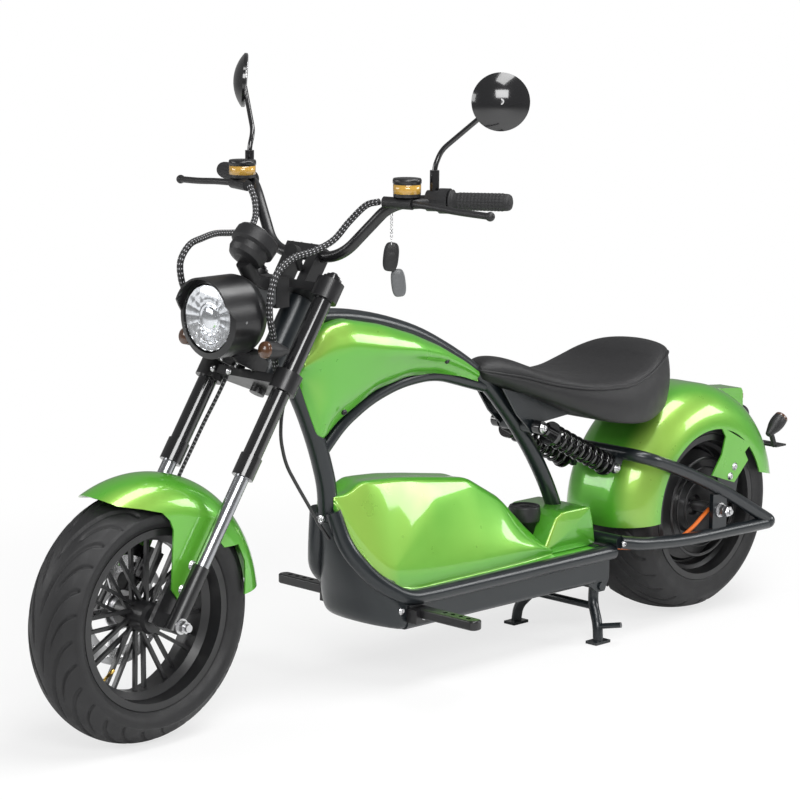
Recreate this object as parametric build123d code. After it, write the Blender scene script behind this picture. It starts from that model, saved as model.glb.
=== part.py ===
from build123d import *
from math import acos, atan2, cos, degrees, hypot, pi, radians, sin, tan
import os

# Electric chopper scooter: wide hub-motor rear wheel, raked telescopic fork,
# tube frame round a flat battery box, sprung saddle, standing on its centre stand.
# Millimetres. X points forwards, Y to the rider's left, Z up, the ground is z = 0.
# Sizes along X are first written from the rear axle and moved to the origin at export.

# Running gear
WHEELBASE = 1550.0
FRONT_TYRE_R = 243.0
FRONT_TYRE_W = 134.0
FRONT_RIM_R = 165.0
REAR_TYRE_R = 238.5
REAR_TYRE_W = 212.0
REAR_RIM_R = 154.0
TYRE_SEAT_GAP = 0.2
FLANGE_H = 8.0

# Fork and steering
RAKE = 33.3
STEER_OFFSET = 38.0
LEG_Y = 102.5
UPPER_TUBE_R = 18.5
COLLAR_R = 21.5
STANCHION_R = 14.0
SLIDER_R = 16.0
SLIDER_TOP = 118.0
COLLAR_LOW = 304.0
COLLAR_HIGH = 348.0
LOWER_CLAMP_T = 504.0
UPPER_CLAMP_T = 701.0
CLAMP_THICK = 40.0
WEB_INSET = 11.0
UPPER_TUBE_TOP = 728.0
STEM_R = 15.0
STEM_CLEAR = 0.5
HEAD_TUBE_R = 28.0
HEAD_TUBE_GAP = 1.0
FIT_GAP = 0.3

# Frame tubes
BACKBONE_R = 17.0
ARCH_R = 14.0
DOWN_TUBE_R = 20.0
RAIL_R = 16.0
RAIL_Y = 110.0
RAIL_Z = 190.0
RAIL_REAR_X = 322.0

# Battery box and covers
BOX_BOTTOM_Z = 126.0
BOX_HALF_W = 110.0
BOX_FRONT_X = 943.0
BOX_REAR_X = 372.0
BOX_CORNER_R = 12.0
COVER_FLANGE_Z = 200.0
COVER_FLANGE_T = 10.0

# Mudguards
REAR_GUARD_R = 268.0
REAR_GUARD_HALF_W = 120.0
REAR_SKIRT_R = 176.0
REAR_GUARD_WALL = 3.5
FRONT_GUARD_R = 270.0
FRONT_GUARD_HALF_W = 78.0
FRONT_GUARD_WALL = 3.5

# Swingarm and shock absorbers
SWING_Y = 137.0
SWING_R = 14.0
REAR_AXLE_R = 8.0
REAR_AXLE_END = 162.0
SHOCK_LOW = (274.0, 60.0, 359.0)
SHOCK_TOP = (505.0, 58.0, 475.0)

# Handlebar
BAR_R = 11.0
BAR_CENTRE_T = 771.0
BAR_CENTRE_N = -6.0
GRIP_R = 17.0

# Stand
STAND_LEG_R = 11.0
STAND_PIVOT = (350.0, 118.0)
STAND_FOOT_X = 372.0
STAND_FOOT_Y = 118.0
STAND_PIN_R = 9.0
STAND_PLATE_Y = 99.0
STAND_SIDE_GAP = 4.0
PIN_CLEAR = 0.3

# Where the box centre of the whole machine lies, from the rear axle
FRONT_REACH = WHEELBASE + FRONT_TYRE_R
REAR_REACH = -302.0
ORIGIN_X = (FRONT_REACH + REAR_REACH) / 2

FRONT_AXLE = (WHEELBASE, 0.0, FRONT_TYRE_R)
REAR_AXLE = (0.0, 0.0, REAR_TYRE_R)

# The fork's own frame: x is forwards across the legs, y left, z up along the legs
FORK = Plane(
    origin=FRONT_AXLE,
    x_dir=(cos(radians(RAKE)), 0, sin(radians(RAKE))),
    z_dir=(-sin(radians(RAKE)), 0, cos(radians(RAKE))),
)


def fork_point(across, left, along):
    """Machine position of a point given in the fork's own frame."""
    return FORK.from_local_coords(Vector(across, left, along))


def fork_local(point):
    """Fork frame position of a machine point."""
    return FORK.to_local_coords(Vector(*point))


def mirrored(shape):
    """Copy of a shape on the other side of the centre plane."""
    return mirror(shape, about=Plane.XZ)


def both_sides(shape):
    """A left piece and its right copy as one group."""
    return Compound(children=[shape, mirrored(shape)])


def corner_radii(points):
    """Largest arc at each corner that leaves a short straight stretch between arcs."""
    corners = [Vector(*p) for p in points]
    radii = []
    for before, corner, after in zip(corners, corners[1:], corners[2:]):
        turn = radians((corner - before).get_angle(after - corner))
        shorter = min((corner - before).length, (after - corner).length)
        radii.append(0.45 * shorter / tan(turn / 2))
    return radii


def rounded_path(points):
    """Straight runs joined by tangent arcs, each as large as its two runs allow."""
    return FilletPolyline(*[Vector(*p) for p in points], radius=corner_radii(points))


def cord(name, points, radius):
    """Solid of a hose or cable along its route, with its bend radii printed."""
    print(name, "bend radii", [round(r) for r in corner_radii(points)])
    print(name, "length", round(rounded_path(points).length))
    return tube(points, radius)


def tube(points, radius, bore=0.0):
    """Round bar or tube along a rounded path."""
    path = rounded_path(points) if len(points) > 2 else Line(*points)
    section = Plane(origin=path @ 0, z_dir=path % 0) * Circle(radius)
    if bore:
        section -= Plane(origin=path @ 0, z_dir=path % 0) * Circle(bore)
    return sweep(section, path=path)


def rod(start, end, radius):
    """Straight round bar between two points."""
    start = Vector(*start)
    axis = Vector(*end) - start
    return extrude(Plane(origin=start, z_dir=axis) * Circle(radius), amount=axis.length)


def spun(outline, centre, angle=360.0, start=0.0):
    """Solid turned about a wheel axle from an outline of (left, radius) points."""
    face = make_face(Polyline(*[(r, y) for y, r in outline], close=True))
    return spun_face(face, centre, angle, start)


def spun_face(face, centre, angle=360.0, start=0.0):
    """Turn a face of (radius, left) about a wheel axle, from an angle above forwards."""
    plane = Plane(origin=centre, x_dir=(1, 0, 0), z_dir=(0, 0, 1))
    solid = revolve(plane * face, axis=Axis(centre, (0, -1, 0)), revolution_arc=angle)
    return solid.rotate(Axis(centre, (0, -1, 0)), start)


def side_plate(points, y_low, y_high):
    """Flat plate parallel to the centre plane from (x, z) corners."""
    face = Plane.XZ.offset(-y_low) * make_face(Polyline(*points, close=True))
    return extrude(face, amount=-(y_high - y_low))


def dome_middle(radius, edge, rise):
    """Half-way point on the arc of a spherical cap, as (radius, height)."""
    sphere_r = (radius ** 2 + rise ** 2) / (2 * rise)
    half_turn = atan2(radius, sphere_r - rise) / 2
    return (sphere_r * sin(half_turn), edge + rise - sphere_r + sphere_r * cos(half_turn))


def bar_across(x, z, half, radius):
    """Round bar across the machine."""
    return rod((x, -half, z), (x, half, z), radius)


# Tyres and wheels

def make_tyre(centre, radius, width, rim_r, shoulder_drop, bead_half):
    """Tyre with a crowned tread, full shoulders and narrow beads."""
    half = width / 2
    tread_half = 0.78 * half
    tread_r = radius - shoulder_drop
    wide_r = (tread_r + rim_r) / 2 + 8
    bead_r = rim_r + TYRE_SEAT_GAP
    lip_r = rim_r + FLANGE_H + 1
    lip_half = bead_half + 6
    lines = [
        ThreePointArc((tread_r, -tread_half), (radius, 0), (tread_r, tread_half)),
        ThreePointArc((tread_r, tread_half), (tread_r - 14, 0.93 * half), (wide_r, half)),
        ThreePointArc((wide_r, half), ((wide_r + lip_r) / 2, 0.96 * half), (lip_r, lip_half)),
        Line((lip_r, lip_half), (lip_r, bead_half)),
        Line((lip_r, bead_half), (bead_r, bead_half)),
        Line((bead_r, bead_half), (bead_r, -bead_half)),
        Line((bead_r, -bead_half), (lip_r, -bead_half)),
        Line((lip_r, -bead_half), (lip_r, -lip_half)),
        ThreePointArc((lip_r, -lip_half), ((wide_r + lip_r) / 2, -0.96 * half), (wide_r, -half)),
        ThreePointArc((wide_r, -half), (tread_r - 14, -0.93 * half), (tread_r, -tread_half)),
    ]
    return spun_face(make_face(Curve() + lines), centre)


FRONT_BEAD_HALF = 47.0
REAR_BEAD_HALF = 96.0
front_tyre = make_tyre(FRONT_AXLE, FRONT_TYRE_R, FRONT_TYRE_W, FRONT_RIM_R, 22.0, FRONT_BEAD_HALF)
rear_tyre = make_tyre(REAR_AXLE, REAR_TYRE_R, REAR_TYRE_W, REAR_RIM_R, 15.0, REAR_BEAD_HALF)

# Front wheel: one casting of rim, crossing spokes and hub
HUB_R = 30.0
HUB_HALF = 46.0
FRONT_AXLE_R = 7.5
RIM_WELL_R = 144.0
SPOKE_PAIRS = 12
SPOKE_W = 6.5
SPOKE_CROSS = 24.0


def make_front_wheel():
    """Rim with a drop centre, hub barrel and pairs of crossing spokes."""
    half = FRONT_BEAD_HALF
    seat = FRONT_RIM_R
    rim_half = [
        (half + 6, seat + FLANGE_H), (half + 1, seat + FLANGE_H), (half + 1, seat), (30, seat),
        (20, RIM_WELL_R + 8),
        (-20, RIM_WELL_R + 8), (-30, seat), (-half - 1, seat), (-half - 1, seat + FLANGE_H),
        (-half - 6, seat + FLANGE_H),
        (-half - 6, seat - 6), (-24, seat - 8), (-14, RIM_WELL_R), (14, RIM_WELL_R), (24, seat - 8),
        (half + 6, seat - 6),
    ]
    bore = FRONT_AXLE_R + FIT_GAP
    hub = [(-HUB_HALF, bore), (-HUB_HALF, HUB_R - 4), (-HUB_HALF + 8, HUB_R), (HUB_HALF - 8, HUB_R),
           (HUB_HALF, HUB_R - 4), (HUB_HALF, bore)]
    wheel = spun(rim_half, FRONT_AXLE) + spun(hub, FRONT_AXLE)
    spokes = []
    for pair in range(SPOKE_PAIRS):
        for lean in (-1, 1):
            at_hub = radians(360 / SPOKE_PAIRS * pair)
            at_rim = at_hub + lean * radians(SPOKE_CROSS)
            inner = Vector(cos(at_hub), sin(at_hub)) * (HUB_R - 3)
            outer = Vector(cos(at_rim), sin(at_rim)) * (RIM_WELL_R + 2)
            run = outer - inner
            turn = degrees(atan2(run.Y, run.X))
            middle = (inner + outer) * 0.5
            bar = Box(run.length, SPOKE_W, SPOKE_W + 2).rotate(Axis.Z, turn)
            spokes.append(Pos(middle.X, middle.Y, lean * 5) * bar)
    spider = spokes[0].fuse(*spokes[1:])
    placed = Plane(origin=FRONT_AXLE, x_dir=(1, 0, 0), z_dir=(0, -1, 0)) * spider
    return wheel + placed


front_wheel = make_front_wheel()

# Front brake disc on the right of the hub
DISC_R = 105.0
DISC_BORE_R = 32.0
DISC_Y = -52.0
DISC_T = 4.0
DISC_HOLES = 16


def make_front_disc():
    """Drilled disc ring on a five-armed carrier that seats on the hub's end."""
    plane = Plane(origin=(WHEELBASE, DISC_Y, FRONT_TYRE_R), x_dir=(1, 0, 0), z_dir=(0, -1, 0))
    ring = Circle(DISC_R) - Circle(DISC_R - 32)
    ring -= PolarLocations(DISC_R - 16, DISC_HOLES) * Circle(5)
    for arm in range(5):
        ring += Rot(0, 0, 72 * arm) * Pos(DISC_R / 2, 0) * Rectangle(DISC_R - 44, 18)
    ring += Circle(DISC_BORE_R + 6)
    ring -= Circle(FRONT_AXLE_R + 3)
    disc = extrude(plane * ring, amount=DISC_T)
    spacer = Circle(DISC_BORE_R - 6) - Circle(FRONT_AXLE_R + 3)
    gap = -DISC_Y - HUB_HALF
    return disc + extrude(plane * spacer, amount=-gap)


front_disc = make_front_disc()

# Rear wheel with the motor in its hub
MOTOR_R = 128.0


def make_rear_wheel():
    """Wide stepped rim closed by the motor's two covers."""
    half = REAR_BEAD_HALF
    seat = REAR_RIM_R
    bore = REAR_AXLE_R + FIT_GAP
    side = [(half + 6, seat + FLANGE_H), (half + 6, seat - 5), (half - 6, seat - 9), (78, seat - 12),
            (72, seat - 20), (50, seat - 23), (50, MOTOR_R), (56, MOTOR_R - 6), (60, 62), (68, 56),
            (68, 24), (60, 20), (60, bore)]
    tread = [(half + 1, seat + FLANGE_H), (half + 1, seat)]
    left = list(reversed(side)) + tread
    right = [(-y, r) for y, r in reversed(left)]
    return spun(left + right, REAR_AXLE)


rear_wheel = make_rear_wheel()

# Steering parts in the fork's frame
def make_clamp(along, boss_r, web_r):
    """Yoke: a boss round each leg and a thinner web to the stem."""
    low = along - CLAMP_THICK / 2
    bosses = Pos(0, LEG_Y) * Circle(boss_r) + Pos(0, -LEG_Y) * Circle(boss_r)
    web = make_hull(
        (Pos(-STEER_OFFSET, 0) * Circle(web_r)).edges()
        + (Pos(-4, LEG_Y - 16) * Circle(16)).edges()
        + (Pos(-4, 16 - LEG_Y) * Circle(16)).edges()
    )
    plate = extrude(Pos(0, 0, low + WEB_INSET) * web, amount=CLAMP_THICK - 2 * WEB_INSET)
    clamp = plate + extrude(Pos(0, 0, low) * bosses, amount=CLAMP_THICK)
    legs = Pos(0, LEG_Y, along) * Cylinder(UPPER_TUBE_R, 2 * CLAMP_THICK)
    clamp -= legs
    clamp -= mirrored(legs)
    stem = Pos(-STEER_OFFSET, 0, along) * Cylinder(STEM_R, 2 * CLAMP_THICK)
    return clamp - stem


CLAMP_BOSS_R = 27.0
lower_clamp = FORK * make_clamp(LOWER_CLAMP_T, CLAMP_BOSS_R, 30.0)
upper_clamp = FORK * make_clamp(UPPER_CLAMP_T, CLAMP_BOSS_R, 28.0)

STEM_LOW = LOWER_CLAMP_T - CLAMP_THICK / 2
STEM_HIGH = UPPER_CLAMP_T + CLAMP_THICK / 2 + 4
STEM_NUT_R = 19.0


def make_stem():
    """Steering stem pressed in the lower yoke, with its nut over the upper one."""
    stem = Pos(-STEER_OFFSET, 0, (STEM_LOW + STEM_HIGH) / 2) * Cylinder(STEM_R, STEM_HIGH - STEM_LOW)
    nut_t = UPPER_CLAMP_T + CLAMP_THICK / 2 - WEB_INSET
    nut = Pos(-STEER_OFFSET, 0, nut_t) * extrude(RegularPolygon(STEM_NUT_R, 6), amount=16)
    return stem + nut


steering_stem = FORK * make_stem()


def fork_cylinder(radius, low, high):
    """Left leg piece between two places along the leg."""
    return Pos(0, LEG_Y, (low + high) / 2) * Cylinder(radius, high - low)


def make_fork_tubes():
    """Gloss upper tubes with a stepped collar at their lower end and a top cap."""
    leg = fork_cylinder(UPPER_TUBE_R, COLLAR_LOW, UPPER_TUBE_TOP)
    leg += fork_cylinder(COLLAR_R, COLLAR_LOW, COLLAR_HIGH)
    leg += fork_cylinder(COLLAR_R - 8, UPPER_TUBE_TOP, UPPER_TUBE_TOP + 5)
    return FORK * both_sides(leg)


def make_stanchions():
    """Bright sliding tubes between the collars and the sliders."""
    return FORK * both_sides(fork_cylinder(STANCHION_R, SLIDER_TOP, COLLAR_LOW))


LUG_IN = 64.0
LUG_OUT = FRONT_GUARD_HALF_W - FRONT_GUARD_WALL - FIT_GAP
LUG_REACH = 36.0
LUG_HIGH = 128.0
LUG_LOW = -14.0


def make_sliders():
    """Lower fork legs with the flat lug that carries the mudguard and the axle."""
    leg = fork_cylinder(SLIDER_R, LUG_LOW, SLIDER_TOP)
    lug = Pos(LUG_REACH / 2 - 6, (LUG_IN + LUG_OUT) / 2, (LUG_LOW + LUG_HIGH) / 2) * Box(
        LUG_REACH, LUG_OUT - LUG_IN, LUG_HIGH - LUG_LOW)
    foot = Pos(0, (LUG_IN + LEG_Y) / 2, 0) * Box(24, LEG_Y - LUG_IN, -2 * LUG_LOW)
    leg = leg + lug + foot
    leg -= Pos(0, LEG_Y, 0) * Cylinder(FRONT_AXLE_R, 200, rotation=(90, 0, 0))
    return FORK * both_sides(leg)


fork_tubes = make_fork_tubes()
stanchions = make_stanchions()
fork_sliders = make_sliders()

FRONT_AXLE_END = 142.0
AXLE_NUT_R = 12.0


def make_front_axle():
    """Axle pin with a nut and washer outside each slider and a spacer inside."""
    seat = LEG_Y + SLIDER_R
    half = rod((0, 0, 0), (0, FRONT_AXLE_END, 0), FRONT_AXLE_R)
    half += rod((0, seat + FIT_GAP, 0), (0, seat + 3, 0), AXLE_NUT_R + 3)
    nut_plane = Plane(origin=(0, seat + 3, 0), z_dir=(0, 1, 0))
    half += extrude(nut_plane * RegularPolygon(AXLE_NUT_R, 6), amount=12)
    half += rod((0, HUB_HALF + 12, 0), (0, LUG_IN - FIT_GAP, 0), FRONT_AXLE_R + 5)
    return Pos(*FRONT_AXLE) * (half + mirrored(half))


front_axle = make_front_axle()

# Front mudguard
GUARD_FRONT = 64.0
GUARD_REAR = 174.0
FRONT_GUARD_CORNER = 74.0
FRONT_GUARD_LOW_R = 188.0
LEG_BOLTS = [(1486.0, 341.0), (1511.0, 299.0)]


def guard_section(radius, half_w, low_r, corner, wall):
    """U-shaped section of a mudguard as a face of (radius, left)."""
    outer = Pos((radius + low_r) / 2, 0) * Rectangle(radius - low_r, 2 * half_w)
    outer = fillet(outer.vertices().filter_by_position(Axis.X, radius - 1, radius + 1), corner)
    inner_r = radius - wall
    inner_w = half_w - wall
    inner = Pos((inner_r + low_r) / 2, 0) * Rectangle(inner_r - low_r, 2 * inner_w)
    inner = fillet(inner.vertices().filter_by_position(Axis.X, inner_r - 1, inner_r + 1), corner - wall)
    return outer - inner


def polar(centre, radius, angle):
    """(x, z) place at a radius and an angle above forwards from an axle."""
    a = radians(angle)
    return (centre[0] + radius * cos(a), centre[2] + radius * sin(a))


def make_front_guard():
    """Mudguard with a pointed tongue, a leg to each slider and a scalloped rear skirt."""
    section = guard_section(FRONT_GUARD_R, FRONT_GUARD_HALF_W, FRONT_GUARD_LOW_R, FRONT_GUARD_CORNER, FRONT_GUARD_WALL)
    guard = spun_face(section, FRONT_AXLE, GUARD_REAR - GUARD_FRONT + 6, GUARD_FRONT - 6)
    c = FRONT_AXLE
    front_cut = [polar(c, 330, 46), polar(c, 276, 63), polar(c, 250, 67), polar(c, 226, 77),
                 polar(c, 208, 88), polar(c, 186, 95), polar(c, 100, 90), polar(c, 100, 40)]
    rear_cut = [polar(c, 186, 140), polar(c, 219, 147), polar(c, 217, 157), polar(c, 200, 171),
                polar(c, 196, 190), polar(c, 120, 190), polar(c, 120, 140)]
    reach = FRONT_GUARD_HALF_W + 5
    guard -= side_plate(front_cut, -reach, reach)
    guard -= side_plate(rear_cut, -reach, reach)
    leg_points = [polar(c, 200, 92), (1531, 415), (1536, 302), (1521, 281), (1507, 267), (1497, 271),
                  (1472, 320), (1450, 361), (1427, 419), polar(c, 222, 126)]
    leg = side_plate(leg_points, FRONT_GUARD_HALF_W - FRONT_GUARD_WALL, FRONT_GUARD_HALF_W)
    for x, z in LEG_BOLTS:
        leg -= rod((x, 0, z), (x, 200, z), 4)
    return guard + leg + mirrored(leg)


front_guard = make_front_guard()

# Front brake caliper behind the right leg
CALIPER_IN = 17.0
CALIPER_ARM_T = 3.0


def make_caliper():
    """Caliper body over the disc's edge on a bracket from the right slider."""
    disc_mid = DISC_Y - DISC_T / 2
    outer = LUG_IN - FIT_GAP + disc_mid
    body = Pos(-10, disc_mid + (CALIPER_IN - outer) / 2, 100) * Box(34, CALIPER_IN + outer, 62)
    body -= Pos(0, disc_mid, FRONT_AXLE_R) * Cylinder(DISC_R + 2, DISC_T + 3, rotation=(90, 0, 0))
    arm = Pos(-10, FIT_GAP - LUG_IN + CALIPER_ARM_T / 2, 80) * Box(26, CALIPER_ARM_T, 84)
    return FORK * (body + arm)


front_caliper = make_caliper()

# Frame tubes
HEAD_LOW = LOWER_CLAMP_T + CLAMP_THICK / 2 - WEB_INSET + HEAD_TUBE_GAP
HEAD_HIGH = UPPER_CLAMP_T - CLAMP_THICK / 2 + WEB_INSET - HEAD_TUBE_GAP


def make_head_tube():
    """Head tube round the steering stem."""
    middle = (HEAD_LOW + HEAD_HIGH) / 2
    outer = Pos(-STEER_OFFSET, 0, middle) * Cylinder(HEAD_TUBE_R, HEAD_HIGH - HEAD_LOW)
    bore = Pos(-STEER_OFFSET, 0, middle) * Cylinder(STEM_R + STEM_CLEAR, HEAD_HIGH - HEAD_LOW + 2)
    return FORK * (outer - bore)


def head_blank():
    """Space of the head tube, for trimming the tubes that meet it."""
    middle = (HEAD_LOW + HEAD_HIGH) / 2
    return FORK * (Pos(-STEER_OFFSET, 0, middle) * Cylinder(HEAD_TUBE_R, HEAD_HIGH - HEAD_LOW))


head_tube = make_head_tube()
BACKBONE = [(1158, 0, 762), (1040, 0, 757), (930, 0, 735), (815, 0, 698), (700, 0, 638),
            (612, 0, 580), (540, 0, 506), (470, 0, 422), (408, 0, 325), (356, 0, 205)]
backbone = tube(BACKBONE, BACKBONE_R) - head_blank()

DOWN_TUBE = [(1200, 0, 702), (1134, 0, 603), (1090, 0, 505), (1063, 0, 420), (1060, 0, 352)]
down_tube = tube(DOWN_TUBE, DOWN_TUBE_R) - head_blank()

TANK_ARCH = [(1076, 0, 494), (1026, 0, 541), (950, 0, 582), (862, 0, 607), (760, 0, 613), (618, 0, 570)]
tank_arch = tube(TANK_ARCH, ARCH_R) - down_tube - backbone

RAIL = [(1067, 22, 372), (1052, 42, 300), (1012, 84, 234), (948, RAIL_Y, RAIL_Z + 2),
        (880, RAIL_Y, RAIL_Z), (RAIL_REAR_X, RAIL_Y, RAIL_Z)]
REAR_CROSS_X = 350.0


def make_rails():
    """Pair of lower rails that leave the down tube and run along the battery box."""
    rail = tube(RAIL, RAIL_R)
    cross = bar_across(REAR_CROSS_X, RAIL_Z, RAIL_Y, RAIL_R - 3)
    rails = rail + mirrored(rail) + cross
    return rails - down_tube


cradle_rails = make_rails()
backbone = backbone - cradle_rails

# Battery box under the rails, and the folded guard ahead of it
def make_battery_box():
    """Long flat box with rounded corners and a raised nose end."""
    length = BOX_FRONT_X - BOX_REAR_X
    height = RAIL_Z - BOX_BOTTOM_Z
    box = Pos((BOX_FRONT_X + BOX_REAR_X) / 2, 0, BOX_BOTTOM_Z + height / 2) * Box(length, 2 * BOX_HALF_W, height)
    box = fillet(box.edges().filter_by(Axis.X).sort_by(Axis.Z)[:2], BOX_CORNER_R)
    return box - cradle_rails - backbone


battery_box = make_battery_box()


def make_front_shield():
    """Folded sheet nose between the rails, wide at the box and narrow at the down tube."""
    low = Plane.XY.offset(BOX_BOTTOM_Z) * make_face(Polyline(
        (BOX_FRONT_X, -BOX_HALF_W), (975, -70), (975, 70), (BOX_FRONT_X, BOX_HALF_W), close=True))
    mid = Plane.XY.offset(RAIL_Z) * make_face(Polyline(
        (BOX_FRONT_X, -BOX_HALF_W), (1008, -60), (1008, 60), (BOX_FRONT_X, BOX_HALF_W), close=True))
    top = Plane.XY.offset(350) * make_face(Polyline(
        (1040, -26), (1072, -21), (1072, 21), (1040, 26), close=True))
    shield = loft([low, mid], ruled=True) + loft([mid, top], ruled=True)
    return shield - cradle_rails - down_tube


front_shield = make_front_shield()

# Battery cover sections: (x, flange z, flange half width, base z, base half width,
# crease z, crease half width, shoulder z, shoulder half width, ridge z)
COVER_SECTIONS = [
    (1064, 386, 27, 394, 24, 396, 23, 400, 20, 402),
    (1034, 306, 56, 330, 52, 346, 46, 398, 30, 402),
    (1000, 246, 80, 276, 78, 292, 74, 420, 36, 426),
    (965, 216, 92, 246, 92, 252, 91, 418, 40, 426),
    (900, COVER_FLANGE_Z, 96, 240, 93, 308, 78, 413, 42, 423),
    (828, COVER_FLANGE_Z, 96, 238, 92, 364, 62, 404, 42, 414),
    (696, COVER_FLANGE_Z, 96, 236, 91, 374, 45, 385, 40, 394),
    (596, COVER_FLANGE_Z, 94, 234, 88, 322, 46, 330, 38, 338),
    (530, COVER_FLANGE_Z, 92, 230, 84, 262, 50, 268, 38, 272),
    (478, COVER_FLANGE_Z, 90, 212, 78, 216, 60, 220, 40, 222),
]
REAR_BLOCK = [(330, 206), (505, 206), (455, 280), (430, 288), (352, 288)]


def cover_section(x, flange_z, flange_half, base_z, base_half, crease_z, crease_half,
                  shoulder_z, shoulder_half, ridge_z):
    """Six-cornered outline of the hump and its flange, across the machine."""
    plane = Plane(origin=(x, 0, 0), x_dir=(0, 1, 0), z_dir=(1, 0, 0))
    right = [(flange_half, flange_z - COVER_FLANGE_T), (flange_half, flange_z), (base_half, flange_z + 4),
             (base_half, base_z), (crease_half, crease_z), (shoulder_half, shoulder_z)]
    left = [(-y, z) for y, z in reversed(right)]
    return plane * make_face(Polyline(*right, (0, ridge_z), *left, close=True))


def make_battery_cover():
    """Tank-like hump with flat facets, a flange along the rails and a raised rear block."""
    hump = loft([cover_section(*row) for row in COVER_SECTIONS], ruled=True)
    flange_points = [(332, 80), (360, 94), (500, 94), (500, 70)]
    outline = flange_points + [(x, -y) for x, y in reversed(flange_points)]
    flange = extrude(Plane.XY.offset(COVER_FLANGE_Z - COVER_FLANGE_T) * make_face(Polyline(*outline, close=True)),
                     amount=COVER_FLANGE_T)
    block = side_plate(REAR_BLOCK, -72, 72)
    cover = hump + flange + block
    seat_hole = tube(BACKBONE, BACKBONE_R + FIT_GAP)
    cover = cover - cradle_rails - seat_hole - down_tube - front_shield
    return cover.solids().sort_by(SortBy.VOLUME)[-1]


battery_cover = make_battery_cover()

CAP_X = 478.0
CAP_Z = 291.0


def make_charge_cap():
    """Round screw cap on a short filler neck at the back of the hump."""
    cap = Pos(CAP_X, 0, CAP_Z) * Cylinder(30, 13)
    neck = Pos(CAP_X, 0, CAP_Z - 32) * Cylinder(21, 51)
    body = cap + neck
    return body - battery_cover - tube(BACKBONE, BACKBONE_R + FIT_GAP)


charge_cap = make_charge_cap()

# Tank halves: (x, lower z, upper z, widest half width, height of the shoulder)
TANK_SECTIONS = [
    (1168, 652, 690, 44, 672),
    (1130, 572, 726, 54, 690),
    (1102, 508, 750, 58, 702),
    (1050, 553, 758, 63, 706),
    (950, 601, 736, 64, 690),
    (860, 618, 708, 58, 668),
    (780, 616, 676, 46, 646),
    (700, 600, 634, 32, 616),
    (650, 582, 604, 26, 592),
]
TANK_IN = 17.0


def make_tank_half():
    """Left shell of the dummy tank between the backbone and the arch tube."""
    faces = []
    for x, low, high, half, shoulder in TANK_SECTIONS:
        plane = Plane(origin=(x, 0, 0), x_dir=(0, 1, 0), z_dir=(1, 0, 0))
        corners = [(TANK_IN, low), (TANK_IN, high), (0.55 * (half + TANK_IN), high - 6), (half, shoulder),
                   (0.8 * half, (low + shoulder) / 2), (TANK_IN + 3, low)]
        faces.append(plane * make_face(Polyline(*corners, close=True)))
    return loft(faces, ruled=True)


tank_left = make_tank_half()
tank_trim = tube(DOWN_TUBE, DOWN_TUBE_R + FIT_GAP) + tube(BACKBONE, BACKBONE_R + FIT_GAP)
tank_trim += tube(TANK_ARCH, ARCH_R + FIT_GAP)
tank_left = tank_left - tank_trim - head_blank()
tank_halves = both_sides(tank_left)

# Seat sections: (x, half width, lower z, upper z, corner radius)
SEAT_SECTIONS = [
    (650, 30, 590, 618, 9),
    (605, 56, 572, 630, 20),
    (560, 74, 556, 622, 24),
    (500, 98, 532, 599, 26),
    (420, 128, 502, 580, 30),
    (300, 145, 466, 578, 34),
    (190, 140, 466, 606, 36),
    (120, 112, 498, 622, 34),
    (84, 66, 534, 606, 26),
]


def make_seat():
    """Saddle: narrow nose, wide rear and rounded edges."""
    faces = []
    for x, half, low, high, corner in SEAT_SECTIONS:
        plane = Plane(origin=(x, 0, (low + high) / 2), x_dir=(0, 1, 0), z_dir=(1, 0, 0))
        faces.append(plane * RectangleRounded(2 * half, high - low, corner))
    tube_space = tube(BACKBONE, BACKBONE_R + FIT_GAP) + tube(TANK_ARCH, ARCH_R + FIT_GAP)
    return loft(faces, ruled=True) - tube_space


seat = make_seat()

SHOCK_BAR_R = 8.0
SHOCK_EYE_HALF = 9.0
SHOCK_PIN_R = 5.0


def make_seat_bracket():
    """Two gusset plates and a bar behind the seat tube that carry seat and shock absorbers."""
    plate = side_plate([(600, 566), (556, 505), (505, 459), (491, 462), (478, 481), (400, 487), (372, 490),
                        (420, 503), (520, 541)], 38, 43)
    bar = bar_across(SHOCK_TOP[0], SHOCK_TOP[2], SHOCK_TOP[1] + SHOCK_EYE_HALF + 3, SHOCK_BAR_R)
    boss = bar_across(SHOCK_TOP[0], SHOCK_TOP[2], 43, 15)
    bracket = plate + mirrored(plate) + bar + boss
    return bracket - tube(BACKBONE, BACKBONE_R) - seat


seat_bracket = make_seat_bracket()

# Swingarm
SWING_PIVOT = (316.0, 212.0)
APEX_X = -178.0
SWING_LOWER = [(316, SWING_Y - 12, 212), (260, SWING_Y, 201), (128, SWING_Y, 187), (APEX_X, SWING_Y, 183)]
HOOP_X = 257.0
HOOP_Z = 390.0
SWING_UPPER = [(HOOP_X, 40, HOOP_Z), (HOOP_X, SWING_Y, HOOP_Z), (135, SWING_Y, 346),
               (-6, SWING_Y, 284), (APEX_X, SWING_Y, 191)]
TAB_T = 5.0
DROPOUT_HALF = 24.0


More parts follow.
